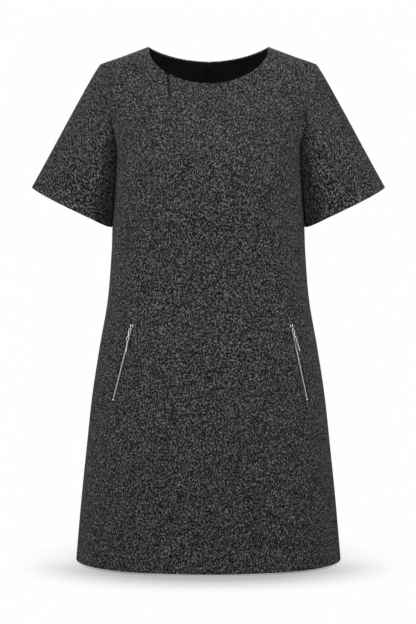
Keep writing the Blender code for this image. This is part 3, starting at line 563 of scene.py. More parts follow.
# %% Panel grids
SHOULDER_COLUMNS = 16
NECK_COLUMNS = 32
HALF_COLUMNS = SHOULDER_COLUMNS + NECK_COLUMNS
YOKE_ROWS = 34
SCOOP_FADE = 4
SKIRT_STEP = 5.5
FINE_STEP = 4.0
FINE_HEM = HEM_DROP - 36.0
SLIT_TOP = 459.0
SLIT_BOTTOM = 583.0
SLIT_HALF = 4.0
SLIT_COLUMN = 17
# x and drop of the top and the bottom of each pocket zip
ZIP_LINES = {-1: (121.5, 462.5, 152.2, 580.5), 1: (132.0, 462.0, 158.0, 580.5)}


def even_steps(start, end, size):
    count = max(1, round((end - start) / size))
    return [mix(start, end, (i + 1) / count) for i in range(count)]


SKIRT_DROPS = (even_steps(UNDERARM_DROP, SLIT_TOP, SKIRT_STEP) + even_steps(SLIT_TOP, SLIT_BOTTOM, FINE_STEP)
               + even_steps(SLIT_BOTTOM, FINE_HEM, SKIRT_STEP) + even_steps(FINE_HEM, HEM_DROP, FINE_STEP))
print("rows", YOKE_ROWS + 1 + len(SKIRT_DROPS), "columns across the front", 2 * HALF_COLUMNS + 1)

# %% Edges of a panel


def armhole_edge(facing):
    """(angle, drop) down the armhole edge, at even steps of its length."""
    fine_steps = 800
    edge = smooth(column(ARMHOLE, 0), column(ARMHOLE, 1 if facing < 0 else 2))
    places = []
    for i in range(fine_steps + 1):
        drop = mix(SHOULDER_DROP, UNDERARM_DROP, i / fine_steps)
        places.append((min(edge(drop), half_width(drop)), drop))
    points = [body_point(facing, *place) for place in places]
    lengths = running((a - b).length for a, b in zip(points, points[1:]))
    picked = []
    i = 0
    for r in range(YOKE_ROWS + 1):
        goal = lengths[-1] * r / YOKE_ROWS
        while i < fine_steps and lengths[i] < goal:
            i += 1
        x, drop = places[i]
        picked.append((to_angle(x, drop), drop))
    return picked


def neck_shares(facing, turn):
    """How far out and how far down the neckline lies at a turn from the shoulder, as shares of its own."""
    across, down = NECK_POWER[facing]
    return max(cos(turn), 0.0) ** (2 / across), sin(turn) ** (2 / down)


def top_edge(facing):
    """(angle, drop) along the shoulder seam from its tip, then down the neckline to the centre."""
    places = []
    for c in range(SHOULDER_COLUMNS):
        x = mix(SHOULDER_HALF, NECK_HALF, c / SHOULDER_COLUMNS)
        places.append((x, (x - NECK_HALF) * SHOULDER_SLOPE))
    for c in range(NECK_COLUMNS + 1):
        out, down = neck_shares(facing, pi / 2 * c / NECK_COLUMNS)
        places.append((NECK_HALF * out, NECK_DROP[facing] * down))
    return [(to_angle(x, drop), drop) for x, drop in places]


print("armhole", round(armhole_edge(-1)[-1][1] - armhole_edge(-1)[0][1]), "mm deep")

# %% Columns of a panel


def plain_angles(drop):
    """Columns of half a back panel, from the side seam to the centre."""
    return [pi / 2 * (1 - c / HALF_COLUMNS) for c in range(HALF_COLUMNS + 1)]


def zip_x(side, drop):
    """The x of a pocket zip's middle at a drop. Past its ends it keeps the angle that it had there."""
    top_x, top_drop, bottom_x, bottom_drop = ZIP_LINES[side]
    held = min(max(drop, top_drop), bottom_drop)
    share = (held - top_drop) / (bottom_drop - top_drop)
    return to_x(to_angle(mix(top_x, bottom_x, share), held), drop)


def zip_angles(side):
    """Columns of half the front, two of them along the slit of its pocket zip."""
    def angles(drop):
        x = zip_x(side, drop)
        middle = to_angle(x, drop)
        nudge = 0.01
        arc = (body_point(-1, to_x(middle + nudge, drop), drop) - body_point(-1, x, drop)).length / nudge
        outer = middle + SLIT_HALF / arc
        inner = middle - SLIT_HALF / arc
        places = [mix(pi / 2, outer, c / SLIT_COLUMN) for c in range(SLIT_COLUMN + 1)]
        rest = HALF_COLUMNS - SLIT_COLUMN - 1
        places += [inner * (1 - c / rest) for c in range(rest + 1)]
        return places
    return angles


print("slit", round(zip_x(-1, SLIT_TOP)), "to", round(zip_x(-1, SLIT_BOTTOM)), "mm out on the left")

# %% Half a panel


def half_grid(facing, side, angles):
    """(x, drop) of half a panel in rows from the top, each from the side to the centre."""
    top = top_edge(facing)
    sides = armhole_edge(facing)
    bottom = [(angle, UNDERARM_DROP) for angle in angles(UNDERARM_DROP)]
    rows = []
    for r in range(YOKE_ROWS + 1):
        v = r / YOKE_ROWS
        row = []
        for c in range(HALF_COLUMNS + 1):
            scoop_share = (1 - c / HALF_COLUMNS) ** SCOOP_FADE
            place = []
            for k in range(2):
                straight = mix(top[c][k], bottom[c][k], v)
                scoop = sides[r][k] - mix(sides[0][k], sides[-1][k], v)
                place.append(straight + scoop * scoop_share)
            row.append(place)
        rows.append(row)
    for drop in SKIRT_DROPS:
        rows.append([(angle, drop) for angle in angles(drop)])
    return [[(side * to_x(angle, drop), drop) for angle, drop in row] for row in rows]


left_half = half_grid(-1, -1, zip_angles(-1))
right_half = half_grid(-1, 1, zip_angles(1))
front_flat = [a + b[-2::-1] for a, b in zip(left_half, right_half)]
LAST = 2 * HALF_COLUMNS
print("front grid", len(front_flat), "rows of", len(front_flat[0]))

# %% [markdown]
# Firm tweed falls in a few long, soft folds rather than in many small ones. Each fold is a trough or a
# ridge that is listed: a line between two points of the panel, a height, and how wide it is. The front is
# nearly smooth. The back and the hem get more, because they hang free.

# %% Soft folds
# x and drop of the start, x and drop of the end, height, half width, all in millimetres
FRONT_FOLDS = (
    (-118, 640, -134, 860, 1.6, 20), (-60, 700, -68, 860, -1.5, 22), (8, 660, 12, 860, 1.3, 26),
    (74, 690, 84, 860, -1.7, 22), (136, 650, 150, 860, 1.5, 18),
    (-122, 215, -84, 182, -1.3, 13), (-112, 238, -74, 206, 0.9, 13),
    (122, 215, 88, 184, -1.2, 13), (112, 240, 78, 210, 0.9, 13),
    (-96, 300, -128, 420, 1.0, 22), (98, 310, 130, 430, 1.0, 22),
)
BACK_FOLDS = (
    (-92, 330, -112, 860, 3.2, 24), (-44, 420, -52, 860, -2.6, 22), (38, 400, 46, 860, 2.4, 22),
    (94, 340, 116, 860, -3.0, 24), (146, 420, 166, 860, 2.2, 18), (-150, 430, -168, 860, -2.0, 18),
    (-104, 140, -58, 200, -1.8, 15), (104, 146, 60, 204, -1.6, 15), (-96, 250, -28, 292, 1.8, 18),
    (92, 262, 30, 300, 1.6, 18), (-86, 296, -20, 330, -1.5, 14), (84, 306, 24, 338, -1.4, 14),
)
FOLDS = {-1: FRONT_FOLDS, 1: BACK_FOLDS}
FOLD_END_SHARE = 0.3
# distances over which the folds fade in from a side seam, from a pocket zip and below the yoke
SEAM_FADE = (4.0, 40.0)
ZIP_FADE = (10.0, 30.0)
YOKE_FADE = (90.0, 150.0)
ZIP_SPAN = (430.0, 612.0)


def fold_height(facing, x, drop):
    """The sum of the folds at a place, in millimetres outward."""
    total = 0.0
    for x0, d0, x1, d1, height, half in FOLDS[facing]:
        run = hypot(x1 - x0, d1 - d0)
        along = ((x - x0) * (x1 - x0) + (drop - d0) * (d1 - d0)) / run ** 2
        away = ((x - x0) * (d1 - d0) - (drop - d0) * (x1 - x0)) / run
        ends = ease(along, -FOLD_END_SHARE, FOLD_END_SHARE)
        ends *= ease(-along, -1 - FOLD_END_SHARE, -1 + FOLD_END_SHARE)
        total += height * ends * exp(-(away / half) ** 2)
    return total


def held_edges(x, drop):
    """0 where a seam, the neck or a pocket opening holds the panel, and 1 away from them."""
    side = ease(half_width(drop) - abs(x), *SEAM_FADE)
    beside = abs(abs(x) - zip_x(-1 if x < 0 else 1, drop))
    near_zip = ease(beside, *ZIP_FADE) if ZIP_SPAN[0] < drop < ZIP_SPAN[1] else 1.0
    return side * near_zip * ease(drop, *YOKE_FADE)


print("folds", len(FRONT_FOLDS), "in front,", len(BACK_FOLDS), "behind")

# %% A pinched tuck beside the neck
# x and drop of places down the tuck, which hooks outward at its end
TUCK_LINE = ((-66.8, 53.0), (-64.6, 65.5), (-62.8, 77.9), (-61.8, 90.2), (-62.4, 100.4), (-65.6, 106.4))
TUCK_OUT = Vector((-0.12, -0.86, 0.48)).normalized()
# depth and half width of the tuck, and height, place and half width of the ridge beside it
TUCK_DEEP = 6.2
TUCK_HALF = 2.8
TUCK_RIDGE = (1.8, 6.6, 3.0)
# how far to each side it reaches, the share of its length over which it ends, and the longest edge left uncut
TUCK_REACH = 13.0
TUCK_FADE = (0.78, 1.0)
TUCK_CELL = 1.6


def off_tuck(x, drop):
    """How far inward of the tuck's line a place lies, and how far down the line, as a share."""
    spot = Vector((x, drop))
    best = (1e9, 1.0, 0.0)
    last = len(TUCK_LINE) - 1
    for i in range(last):
        a, b = Vector(TUCK_LINE[i]), Vector(TUCK_LINE[i + 1])
        run = b - a
        share = min(max((spot - a).dot(run) / run.dot(run), 0.0), 1.0)
        away = spot - a - run * share
        if away.length < best[0]:
            best = (away.length, copysign(1.0, run.y * away.x - run.x * away.y), (i + share) / last)
    return best[0] * best[1], best[2]


def tuck_height(x, drop):
    """Depth of the tuck and height of the ridge beside it, in millimetres outward."""
    away, share = off_tuck(x, drop)
    height, place, half = TUCK_RIDGE
    ends = 1 - ease(share, *TUCK_FADE)
    return ends * (height * exp(-((away - place) / half) ** 2) - TUCK_DEEP * exp(-abs(away / TUCK_HALF) ** 3))


print("tuck", round(TUCK_LINE[-1][1] - TUCK_LINE[0][1]), "mm long")

# %% [markdown]
# # From grid to cloth
# A sheet is an outer grid and an inner one, a cloth's thickness apart, closed along the edges. At a seam
# the edge walls lie in the plane of the seam, so two panels meet without crossing. The hem and the cuffs
# are turned up inside, so the wall is thicker there. A narrow bevel then rounds every cut or folded edge.

# %% Normals and inner grids


def normals_of(grid, closed=False):
    """Outward normals of a grid whose rows run down and whose points run to the viewer's right."""
    rows = len(grid)
    columns = len(grid[0])
    result = []
    for r in range(rows):
        line = []
        for c in range(columns):
            down = grid[min(r + 1, rows - 1)][c] - grid[max(r - 1, 0)][c]
            if closed:
                across = grid[r][(c + 1) % columns] - grid[r][c - 1]
            else:
                across = grid[r][min(c + 1, columns - 1)] - grid[r][max(c - 1, 0)]
            line.append(down.cross(across).normalized())
        result.append(line)
    return result


def panel_normals(grid, facing):
    """Normals of a panel: its surface's own wherever the shoulders' ridge is not near."""
    result = normals_of(grid)
    for points, line in zip(grid, result):
        for c, point in enumerate(points):
            if -point.z > GRID_DROP:
                line[c] = body_normal(facing, point)
    return result


def without(vector, axis):
    """The unit vector left when an axis is taken out, for an edge that keeps to its seam's plane."""
    vector = vector.copy()
    vector[axis] = 0.0
    return vector.normalized()


def move_back(grid, normals, depth):
    """The grid moved inward. The depth is one number, or a function of row and column."""
    moved = []
    for r, (points, line) in enumerate(zip(grid, normals)):
        moved.append([p - n * (depth(r, c) if callable(depth) else depth)
                      for c, (p, n) in enumerate(zip(points, line))])
    return moved


# %% A closed sheet


def closed_sheet(name, outer, inner, uvs, keep=None, closed=False):
    """A sheet between two grids in millimetres, walled all round. Cells that keep refuses are left out."""
    rows = len(outer)
    columns = len(outer[0])
    cells = set()
    for r in range(rows - 1):
        for c in range(columns if closed else columns - 1):
            if keep is None or keep(r, c):
                cells.add((r, c))
    verts = [p * MM for row in outer for p in row] + [p * MM for row in inner for p in row]
    below = rows * columns

    def corner(r, c):
        return r * columns + c % columns, uvs(r, c)

    faces = []
    maps = []

    def face(corners, lowered):
        faces.append([i + (below if low else 0) for (i, uv), low in zip(corners, lowered)])
        maps.extend(uv for i, uv in corners)

    for r, c in sorted(cells):
        a, b, d, e = corner(r, c), corner(r + 1, c), corner(r + 1, c + 1), corner(r, c + 1)
        face((a, b, d, e), (0, 0, 0, 0))
        face((e, d, b, a), (1, 1, 1, 1))
        left = (c - 1) % columns if closed else c - 1
        right = (c + 1) % columns if closed else c + 1
        edges = (((r - 1, c), e, a), ((r + 1, c), b, d), ((r, left), a, b), ((r, right), d, e))
        for neighbour, p, q in edges:
            if neighbour not in cells:
                face((q, p, p, q), (0, 0, 1, 1))
    mesh = bpy.data.meshes.new(name)
    mesh.from_pydata(verts, [], faces)
    layer = mesh.uv_layers.new(name="cloth")
    layer.data.foreach_set("uv", [x for uv in maps for x in uv])
    made = bpy.data.objects.new(name, mesh)
    scene.collection.objects.link(made)
    loose = bmesh.new()
    loose.from_mesh(mesh)
    bmesh.ops.delete(loose, geom=[v for v in loose.verts if not v.link_faces], context="VERTS")
    loose.to_mesh(mesh)
    loose.free()
    return made


# %% Edges and finished pieces
EDGE_ROUND = 0.8
FOLD_ANGLE = 50.0


def only(piece):
    """Makes the piece the one that operators act on."""
    bpy.ops.object.select_all(action="DESELECT")
    piece.select_set(True)
    bpy.context.view_layer.objects.active = piece


def bevel(piece, width, segments, angle):
    """A bevel on every edge sharper than the angle, applied."""
    only(piece)
    step = piece.modifiers.new("Rounding", "BEVEL")
    step.width = width
    step.segments = segments
    step.limit_method = "ANGLE"
    step.angle_limit = radians(angle)
    bpy.ops.object.modifier_apply(modifier=step.name)


def triangles(piece):
    piece.data.calc_loop_triangles()
    return len(piece.data.loop_triangles)


def finished(piece, node, body, slot):
    """Gives the piece its finish, hides the imported part that it stands for, and ties it to what it moves
    with.
    """
    piece.data.materials.clear()
    piece.data.materials.append(FINISHES[slot])
    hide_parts(node)
    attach(piece, body)
    print(piece.name, triangles(piece), "triangles")
    return piece


def cloth_piece(node, outer, inner, uvs, slot, rounding=EDGE_ROUND, segments=2, keep=None, closed=False):
    """A sheet whose cut and folded edges are rounded."""
    piece = closed_sheet(f"{node}_cloth", outer, inner, uvs, keep, closed)
    bevel(piece, rounding * MM, segments, FOLD_ANGLE)
    piece.data.shade_smooth()
    return finished(piece, node, "dress", slot)


# %% [markdown]
# # The front and the two backs
# The three panels share one way of making: grid, folds, seams drawn half a gap in, inner grid, edges. Left
# and right of the front have different zips, so each half has its own columns. The centre-back seam parts a
# little at the very top, round the neck of the slider.

# %% Panel helpers
TURNED_HEM = 34.0
TURNED_CLOTH = 1.5
HEM_STEP = 3.0


def hem_depth(grid):
    """The wall's thickness: more where the hem is turned up inside."""
    drops = [-row[len(row) // 2].z for row in grid]
    top = HEM_DROP - TURNED_HEM
    return lambda r, c: CLOTH + TURNED_CLOTH * ease(drops[r], top - HEM_STEP, top)


def hung(flat, facing):
    """Points of a panel from its (x, drop) grid, with the folds in them, and the normals."""
    grid = [[body_point(facing, x, drop) for x, drop in row] for row in flat]
    normals = panel_normals(grid, facing)
    for row, places, line in zip(grid, flat, normals):
        for c, (x, drop) in enumerate(places):
            height = fold_height(facing, x, drop) * held_edges(x, drop)
            row[c] = row[c] + line[c] * height
    return grid, normals


def seam_in(grid, normals, facing, side_columns, shoulder_columns):
    """Draws the side and shoulder edges half a gap in, with their walls in the plane of the seam."""
    shift = Vector((0.0, facing * SEAM_GAP / 2, 0.0))
    edges = [(0, c) for c in shoulder_columns]
    edges += [(r, c) for c in side_columns for r in range(YOKE_ROWS, len(grid))]
    for r, c in sorted(set(edges)):
        grid[r][c] = grid[r][c] + shift
        normals[r][c] = without(normals[r][c], 1)


def sewn_panel(node, flat, facing, grid, normals, keep=None):
    """The cloth of a panel whose edges are in place."""
    uvs = [[cloth_uv(facing, x, drop) for x, drop in row] for row in flat]
    inner = move_back(grid, normals, hem_depth(grid))
    return cloth_piece(node, grid, inner, lambda r, c: uvs[r][c], "tweed", keep=keep)


def skirt_row(drop):
    return YOKE_ROWS + 1 + min(range(len(SKIRT_DROPS)), key=lambda i: abs(SKIRT_DROPS[i] - drop))


SLIT_ROWS = (skirt_row(SLIT_TOP), skirt_row(SLIT_BOTTOM))


def solid_cell(r, c):
    """Cells of the front that aren't taken out for the pocket openings."""
    in_column = c in (SLIT_COLUMN, 2 * HALF_COLUMNS - 1 - SLIT_COLUMN)
    return not (in_column and SLIT_ROWS[0] <= r < SLIT_ROWS[1])


# %% The front
front_grid, front_normals = hung(front_flat, -1)
seam_in(front_grid, front_normals, -1, (0, LAST),
        [*range(SHOULDER_COLUMNS + 1), *range(LAST - SHOULDER_COLUMNS, LAST + 1)])
front = sewn_panel("front", front_flat, -1, front_grid, front_normals, solid_cell)

# %% The tuck pressed into the front


def beside_tuck(shape):
    """The points of the front close to the tuck."""
    ahead = [v for v in shape.verts if v.co.y < 0]
    return {v for v in ahead if abs(off_tuck(v.co.x / MM, -v.co.z / MM)[0]) < TUCK_REACH}


shape = bmesh.new()
shape.from_mesh(front.data)
beside = beside_tuck(shape)
finer = [e for e in shape.edges if beside.issuperset(e.verts) and e.calc_length() > TUCK_CELL * MM]
bmesh.ops.subdivide_edges(shape, edges=finer, cuts=3, use_grid_fill=True)
for v in beside_tuck(shape):
    v.co += TUCK_OUT * tuck_height(v.co.x / MM, -v.co.z / MM) * MM
shape.to_mesh(front.data)
shape.free()
front.data.shade_smooth()
print("front", triangles(front), "triangles with its tuck")

# %% The two backs
LIP_HALF = 0.8
LIP_LENGTH = 16.0
backs = {}
for side, name in SIDES:
    flat = half_grid(1, side, plain_angles)
    edge, centre = 0, HALF_COLUMNS
    shoulders = range(SHOULDER_COLUMNS + 1)
    if side < 0:
        flat = [row[::-1] for row in flat]
        centre, edge = 0, HALF_COLUMNS
        shoulders = range(HALF_COLUMNS - SHOULDER_COLUMNS, HALF_COLUMNS + 1)
    grid, normals = hung(flat, 1)
    seam_in(grid, normals, 1, (edge,), shoulders)
    for r, row in enumerate(grid):
        part = 1 - ease(-row[centre].z - NECK_DROP[1], LIP_LENGTH * 0.5, LIP_LENGTH)
        row[centre].x = side * mix(SEAM_GAP / 2, LIP_HALF, part)
        normals[r][centre] = without(normals[r][centre], 0)
    backs[side] = (grid, normals, sewn_panel(f"back_{name}", flat, 1, grid, normals))

# %% [markdown]
# # The sleeves
# A short sleeve is one piece, sewn into a tube and set into the armhole. Each ring of points here runs from
# the front edge of the armhole round to the back one, and curves out to the cuff, which is a tilted oval.
# Under the arm the sleeve leans on the bodice and rounds back towards it, which leaves a deep hollow
# between the two.

# %% Sizes of the sleeves
CUFF_TOP = Vector((290.5, 0.0, -235.0))
CUFF_UNDER = Vector((160.0, 0.0, -298.0))
CUFF_HALF_DEPTH = 47.0
CUFF_FORWARD = 3.0
CUFF_SWING = 14.0
CUFF_TILT = radians(8.3)
CUFF_FLATNESS = 3.0
BODY_CLEAR = 1.2
SLEEVE_ROWS = 46
# how far the cloth keeps the panel's direction at the shoulder and under the arm, and where that changes
SHOULDER_TURN = 8.0
UNDERARM_SPREAD = 0.4
UNDERARM_TURN = 16.0
HANG_END = 95.0
FOLD_START = 105.0
FOLD_END = 165.0
CUFF_TURNED = 0.1
CUFF_STEP = 0.02
# how far, where and over which shares of its length the sleeve leans in on the bodice
LEAN = -16.0
LEAN_TURN = radians(42.0)
LEAN_STEPS = (0.25, 0.8)
LEAN_POWER = 3
# how far the front of the sleeve goes back beside the body and comes forward a little way off, and where
HOLLOW = (13.0, 28.0)
HOLLOW_DEEPENS = (210.0, 285.0)
HOLLOW_HALF = 15.0
HOLLOW_AHEAD = 52.0
HOLLOW_AT_CUFF = 0.5
HOLLOW_FADE = (0.7, 1.0)
SWELL = 12.0
SWELL_PLACE = 38.0
SWELL_HALF = 22.0
HOLLOW_DROPS = (105.0, 175.0)
print("cuff", round((CUFF_TOP - CUFF_UNDER).length), "by", round(2 * CUFF_HALF_DEPTH), "mm")

# %% From the armhole to the cuff


def edge_frames(grid, normals, column_index, inward):
    """Point, normal and the direction off the panel, for each row of an armhole edge."""
    frames = []
    for r in range(YOKE_ROWS + 1):
        point = grid[r][column_index]
        normal = normals[r][column_index]
        along = grid[min(r + 1, YOKE_ROWS)][column_index] - grid[max(r - 1, 0)][column_index]
        off = point - grid[r][column_index + inward]
        off = off - along * (off.dot(along) / along.dot(along))
        off = (off - normal * off.dot(normal)).normalized()
        frames.append((point, normal, off))
    return frames


def cuff_point(side, angle):
    """A point of the cuff edge: angle 0 is under the arm, and pi / 2 is at the front."""
    centre = (CUFF_TOP + CUFF_UNDER) / 2
    outward = (CUFF_TOP - CUFF_UNDER) / 2
    forward = Vector((0.0, -cos(CUFF_TILT), -sin(CUFF_TILT))) * CUFF_HALF_DEPTH
    power = CUFF_FLATNESS if cos(angle) > 0 else 2.0
    under = copysign(abs(cos(angle)) ** (2 / power), cos(angle))
    front = copysign(abs(sin(angle)) ** (2 / power), sin(angle))
    point = centre - outward * under + forward * front
    return Vector((side * point.x, point.y - CUFF_FORWARD + CUFF_SWING * under, point.z))


def body_reach(point):
    """How far out the body's surface is beside a point."""
    drop = -point.z
    away = point.y - side_y(drop)
    share = min(abs(away) / DEPTH[-1 if away < 0 else 1](drop), 1.0)
    return half_width(drop) * (1.0 - share ** ROUNDNESS) ** (1 / ROUNDNESS)


def off_body(point, side):
    """The point, moved sideways if it lies closer to the body than the sleeve does."""
    return Vector((side * max(abs(point.x), body_reach(point) + BODY_CLEAR), point.y, point.z))


def hollow_in(point, share):
    """The point, moved back where the front of the sleeve nears the body, and forward beside that."""
    gap = max(abs(point.x) - body_reach(point), 0.0)
    ahead = ease(side_y(-point.z) - point.y, 0.0, HOLLOW_AHEAD) * ease(-point.z, *HOLLOW_DROPS)
    deep = mix(*HOLLOW, ease(-point.z, *HOLLOW_DEEPENS))
    back = deep * exp(-(gap / HOLLOW_HALF) ** 2) - SWELL * exp(-((gap - SWELL_PLACE) / SWELL_HALF) ** 2)
    return point + Vector((0.0, back * ahead * share, 0.0))


# %% The sleeves


def make_sleeve(side, node):
    grid, normals = backs[side][:2]
    front_edge = edge_frames(front_grid, front_normals, 0 if side < 0 else LAST, -side)
    back_edge = edge_frames(grid, normals, HALF_COLUMNS if side < 0 else 0, side)
    ring = list(reversed(front_edge))
    ring += back_edge[1:-1]
    for i, other in ((0, back_edge[-1]), (YOKE_ROWS, back_edge[0])):
        point, normal, off = ring[i]
        ring[i] = ((point + other[0]) / 2, without(normal + other[1], 1), off)
    count = len(ring)
    shoulder_off = Vector((side * cos(atan(SHOULDER_SLOPE)), 0.0, -sin(atan(SHOULDER_SLOPE))))
    shares = [i / SLEEVE_ROWS for i in range(SLEEVE_ROWS + 1)]
    rows = [[] for _ in shares]
    blends = []
    for i, (point, normal, off) in enumerate(ring):
        if i == YOKE_ROWS:
            off = shoulder_off
        drop = -point.z
        goal = cuff_point(side, 2 * pi * i / count)
        straight = (goal - point).normalized()
        hang = ease(drop, SHOULDER_DROP, HANG_END)
        fold = ease(drop, FOLD_START, FOLD_END)
        start = point + mix(off, normal, fold).normalized() * SEAM_GAP
        length = (goal - start).length
        turn = (mix(off, straight, hang) + normal * UNDERARM_SPREAD * fold).normalized()
        handle = mix(mix(SHOULDER_TURN, length / 3, hang), UNDERARM_TURN, fold)
        controls = (start, start + turn * handle, goal - straight * length / 3, goal)
        for t, row in zip(shares, rows):
            weights = ((1 - t) ** 3, 3 * t * (1 - t) ** 2, 3 * t ** 2 * (1 - t), t ** 3)
            spot = sum((p * w for p, w in zip(controls, weights)), Vector())
            lean = max(cos(2 * pi * i / count - LEAN_TURN), 0.0) ** LEAN_POWER
            lean *= ease(t, 0.0, LEAN_STEPS[0]) * (1 - ease(t, LEAN_STEPS[1], 1.0))
            spot.x += side * LEAN * lean
            if t > 0:
                spot = hollow_in(spot, 1 - HOLLOW_AT_CUFF * ease(t, *HOLLOW_FADE))
            row.append(off_body(spot, side) if t > 0 and (fold > 0 or lean > 0) else spot)
        blends.append((normal, hang))
    if side < 0:
        rows = [[row[0]] + row[:0:-1] for row in rows]
        blends = [blends[0]] + blends[:0:-1]
    out = normals_of(rows, closed=True)
    for c, (normal, hang) in enumerate(blends):
        out[0][c] = mix(normal, out[0][c], hang).normalized()
    depths = [CLOTH + TURNED_CLOTH * ease(t, 1 - CUFF_TURNED - CUFF_STEP, 1 - CUFF_TURNED) for t in shares]
    under = move_back(rows, out, lambda r, c: depths[r])
    lengths = [running((b[c] - a[c]).length for a, b in zip(rows, rows[1:])) for c in range(count)]
    widest = sum((rows[-1][c] - rows[-1][c - 1]).length for c in range(count))

    def uv(r, c):
        return widest * c / count * MM, -lengths[c % count][r] * MM

    print("cuff", round(widest), "mm round")
    return cloth_piece(node, rows, under, uv, "tweed", closed=True)


sleeves = {side: make_sleeve(side, f"sleeve_{name}") for side, name in SIDES}

# %% [markdown]
# # The neck facing
# A shaped strip of thin black cloth faces the neckline inside, one piece in front and two behind. It shows
# through the neck opening, so it needs a true edge. It follows the back of the panels, a small gap away.

# %% Sizes of the facing
FACING = 1.0
FACING_GAP = 1.0
FACING_DEPTH = 65.0
TUCK_ROOM = 7.0
FACING_ROWS = 14
FACING_COLUMNS = 24
FACING_TURN = radians(87.0)
FACING_EDGE = 3.0
FACING_ROUND = 0.35
# how far behind the panel the back facings lie over the zip's tapes, and where that ends
OVER_TAPE = 1.9
TAPE_FADE = (13.0, 20.0)


def facing_places(facing, side, last_turn=pi / 2):
    """Points of the outer surface from the neckline down, each row from the shoulder inward."""
    slope = atan(SHOULDER_SLOPE)
    rows = []
    for r in range(FACING_ROWS + 1):
        depth = FACING_DEPTH * r / FACING_ROWS
        row = []
        for c in range(FACING_COLUMNS + 1):
            out, down = neck_shares(facing, last_turn * c / FACING_COLUMNS)
            x = (NECK_HALF + depth * cos(slope)) * out
            drop = depth * sin(slope) * out + (NECK_DROP[facing] + depth) * down
            row.append(body_point(facing, side * x, drop))
        rows.append(row)
    return rows


# %% The neck facing


def make_facing(node, surface, panel, facing, seam_columns, centre=None):
    """A facing just behind a panel, which is (grid, normals)."""
    behind = move_back(*panel, CLOTH)
    columns = len(behind[0])
    verts = [p for row in behind[:YOKE_ROWS] for p in row]
    cells = []
    for r in range(YOKE_ROWS - 1):
        for c in range(columns - 1):
            a = r * columns + c
            cells.append((a, a + columns, a + columns + 1, a + 1))
    tree = BVHTree.FromPolygons(verts, cells)
    outer = []
    normals = normals_of(surface)
    for points, line in zip(surface, normals):
        row = []
        for c, (p, n) in enumerate(zip(points, line)):
            if c == centre:
                n = without(n, 0)
            over = 1 - ease(abs(p.x), *TAPE_FADE) if facing > 0 else 0.0
            spot = tree.find_nearest(p - n * CLOTH)[0] - n * mix(FACING_GAP, OVER_TAPE, over)
            if facing < 0:
                spot -= TUCK_OUT * TUCK_ROOM * exp(-(off_tuck(p.x, -p.z)[0] / TUCK_REACH) ** 2)
            if c == centre:
                spot.x = p.x
            if c in seam_columns:
                spot.y = facing * SEAM_GAP / 2
                n = without(n, 1)
            row.append(spot)
            line[c] = n
        outer.append(row)

    def uv(r, c):
        return outer[r][c].x * MM, outer[r][c].z * MM

    return cloth_piece(node, outer, move_back(outer, normals, FACING), uv, "facing_cloth", FACING_ROUND)


surface = [a + b[-2::-1] for a, b in zip(facing_places(-1, -1), facing_places(-1, 1))]
seams = (0, 2 * FACING_COLUMNS)
facings = {0: make_facing("facing_front", surface, (front_grid, front_normals), -1, seams)}
for side, name in SIDES:
    surface = facing_places(1, side, FACING_TURN)
    for row in surface:
        row[-1] = body_point(1, side * FACING_EDGE, -row[-1].z)
    seam, centre = 0, FACING_COLUMNS
    if side < 0:
        surface = [row[::-1] for row in surface]
        seam, centre = FACING_COLUMNS, 0
    facings[side] = make_facing(f"facing_back_{name}", surface, backs[side][:2], 1, (seam,), centre)

# %% [markdown]
# # Metal pieces
# The zips are the only hard pieces. Each is modelled at one unit to the millimetre round its own middle,
# where numbers are easy to think in, with x across the zip, y down it and z out of the cloth. A last step
# turns it to its place on the dress, scales it to metres and leaves the object itself at the origin.

# %% Places and selections
TOUCH = 0.01


def frame_at(point, down, out):
    """A place whose axes are across, down the zip, and out of the cloth."""
    down = down.normalized()
    out = (out - down * out.dot(down)).normalized()
    place = Matrix((down.cross(out), down, out)).transposed().to_4x4()
    place.translation = point
    return place


def pick(piece, test, kind="VERT"):
    """Edit mode with the vertices or faces selected whose place passes the test."""
    only(piece)
    bpy.ops.object.mode_set(mode="EDIT")
    bpy.ops.mesh.select_mode(type=kind)
    bpy.ops.mesh.select_all(action="DESELECT")
    shape = bmesh.from_edit_mesh(piece.data)
    for part in (shape.faces if kind == "FACE" else shape.verts):
        if test(part.calc_center_median() if kind == "FACE" else part.co):
            part.select = True
    shape.select_flush_mode()
    bmesh.update_edit_mesh(piece.data)


def resized(piece, test, factors):
    """Scales the vertices that pass the test about the middle."""
    pick(piece, test)
    bpy.ops.transform.resize(value=factors, center_override=(0.0, 0.0, 0.0))
    bpy.ops.object.mode_set(mode="OBJECT")


# %% Blocks, bars and rings
EDGE_ANGLE = 30.0
SMOOTH_ANGLE = 40.0


def soften(piece, width, segments=2):
    """Rounds the edges of a hard piece and shades the rest as smooth or flat."""
    bevel(piece, width, segments, EDGE_ANGLE)
    bpy.ops.object.shade_smooth_by_angle(angle=radians(SMOOTH_ANGLE))


def fixed(scale=None):
    """The object just added, with its place, turn and scale applied."""
    piece = bpy.context.object
    if scale:
        piece.scale = scale
    bpy.ops.object.transform_apply(location=True, rotation=True, scale=True)
    return piece


def block(middle, size):
    """A plain block."""
    bpy.ops.object.select_all(action="DESELECT")
    bpy.ops.mesh.primitive_cube_add(size=1.0, location=middle, scale=size)
    return fixed()


def box(ranges, rounding):
    """A softened bar between the low and high across the zip, down it and out of the cloth."""
    piece = block([(high + low) / 2 for low, high in ranges], [high - low for low, high in ranges])
    soften(piece, rounding)
    return piece


def ring(place, major, minor, rotation=(0.0, 0.0, 0.0), flatness=1.0, segments=(28, 10)):
    """A ring of round bar."""
    bpy.ops.object.select_all(action="DESELECT")
    bpy.ops.mesh.primitive_torus_add(location=place, rotation=rotation, major_radius=major,
                                     minor_radius=minor, major_segments=segments[0],
                                     minor_segments=segments[1])
    piece = fixed((1.0, 1.0, flatness))
    bpy.ops.object.shade_smooth()
    return piece


# %% Copies and the finished piece


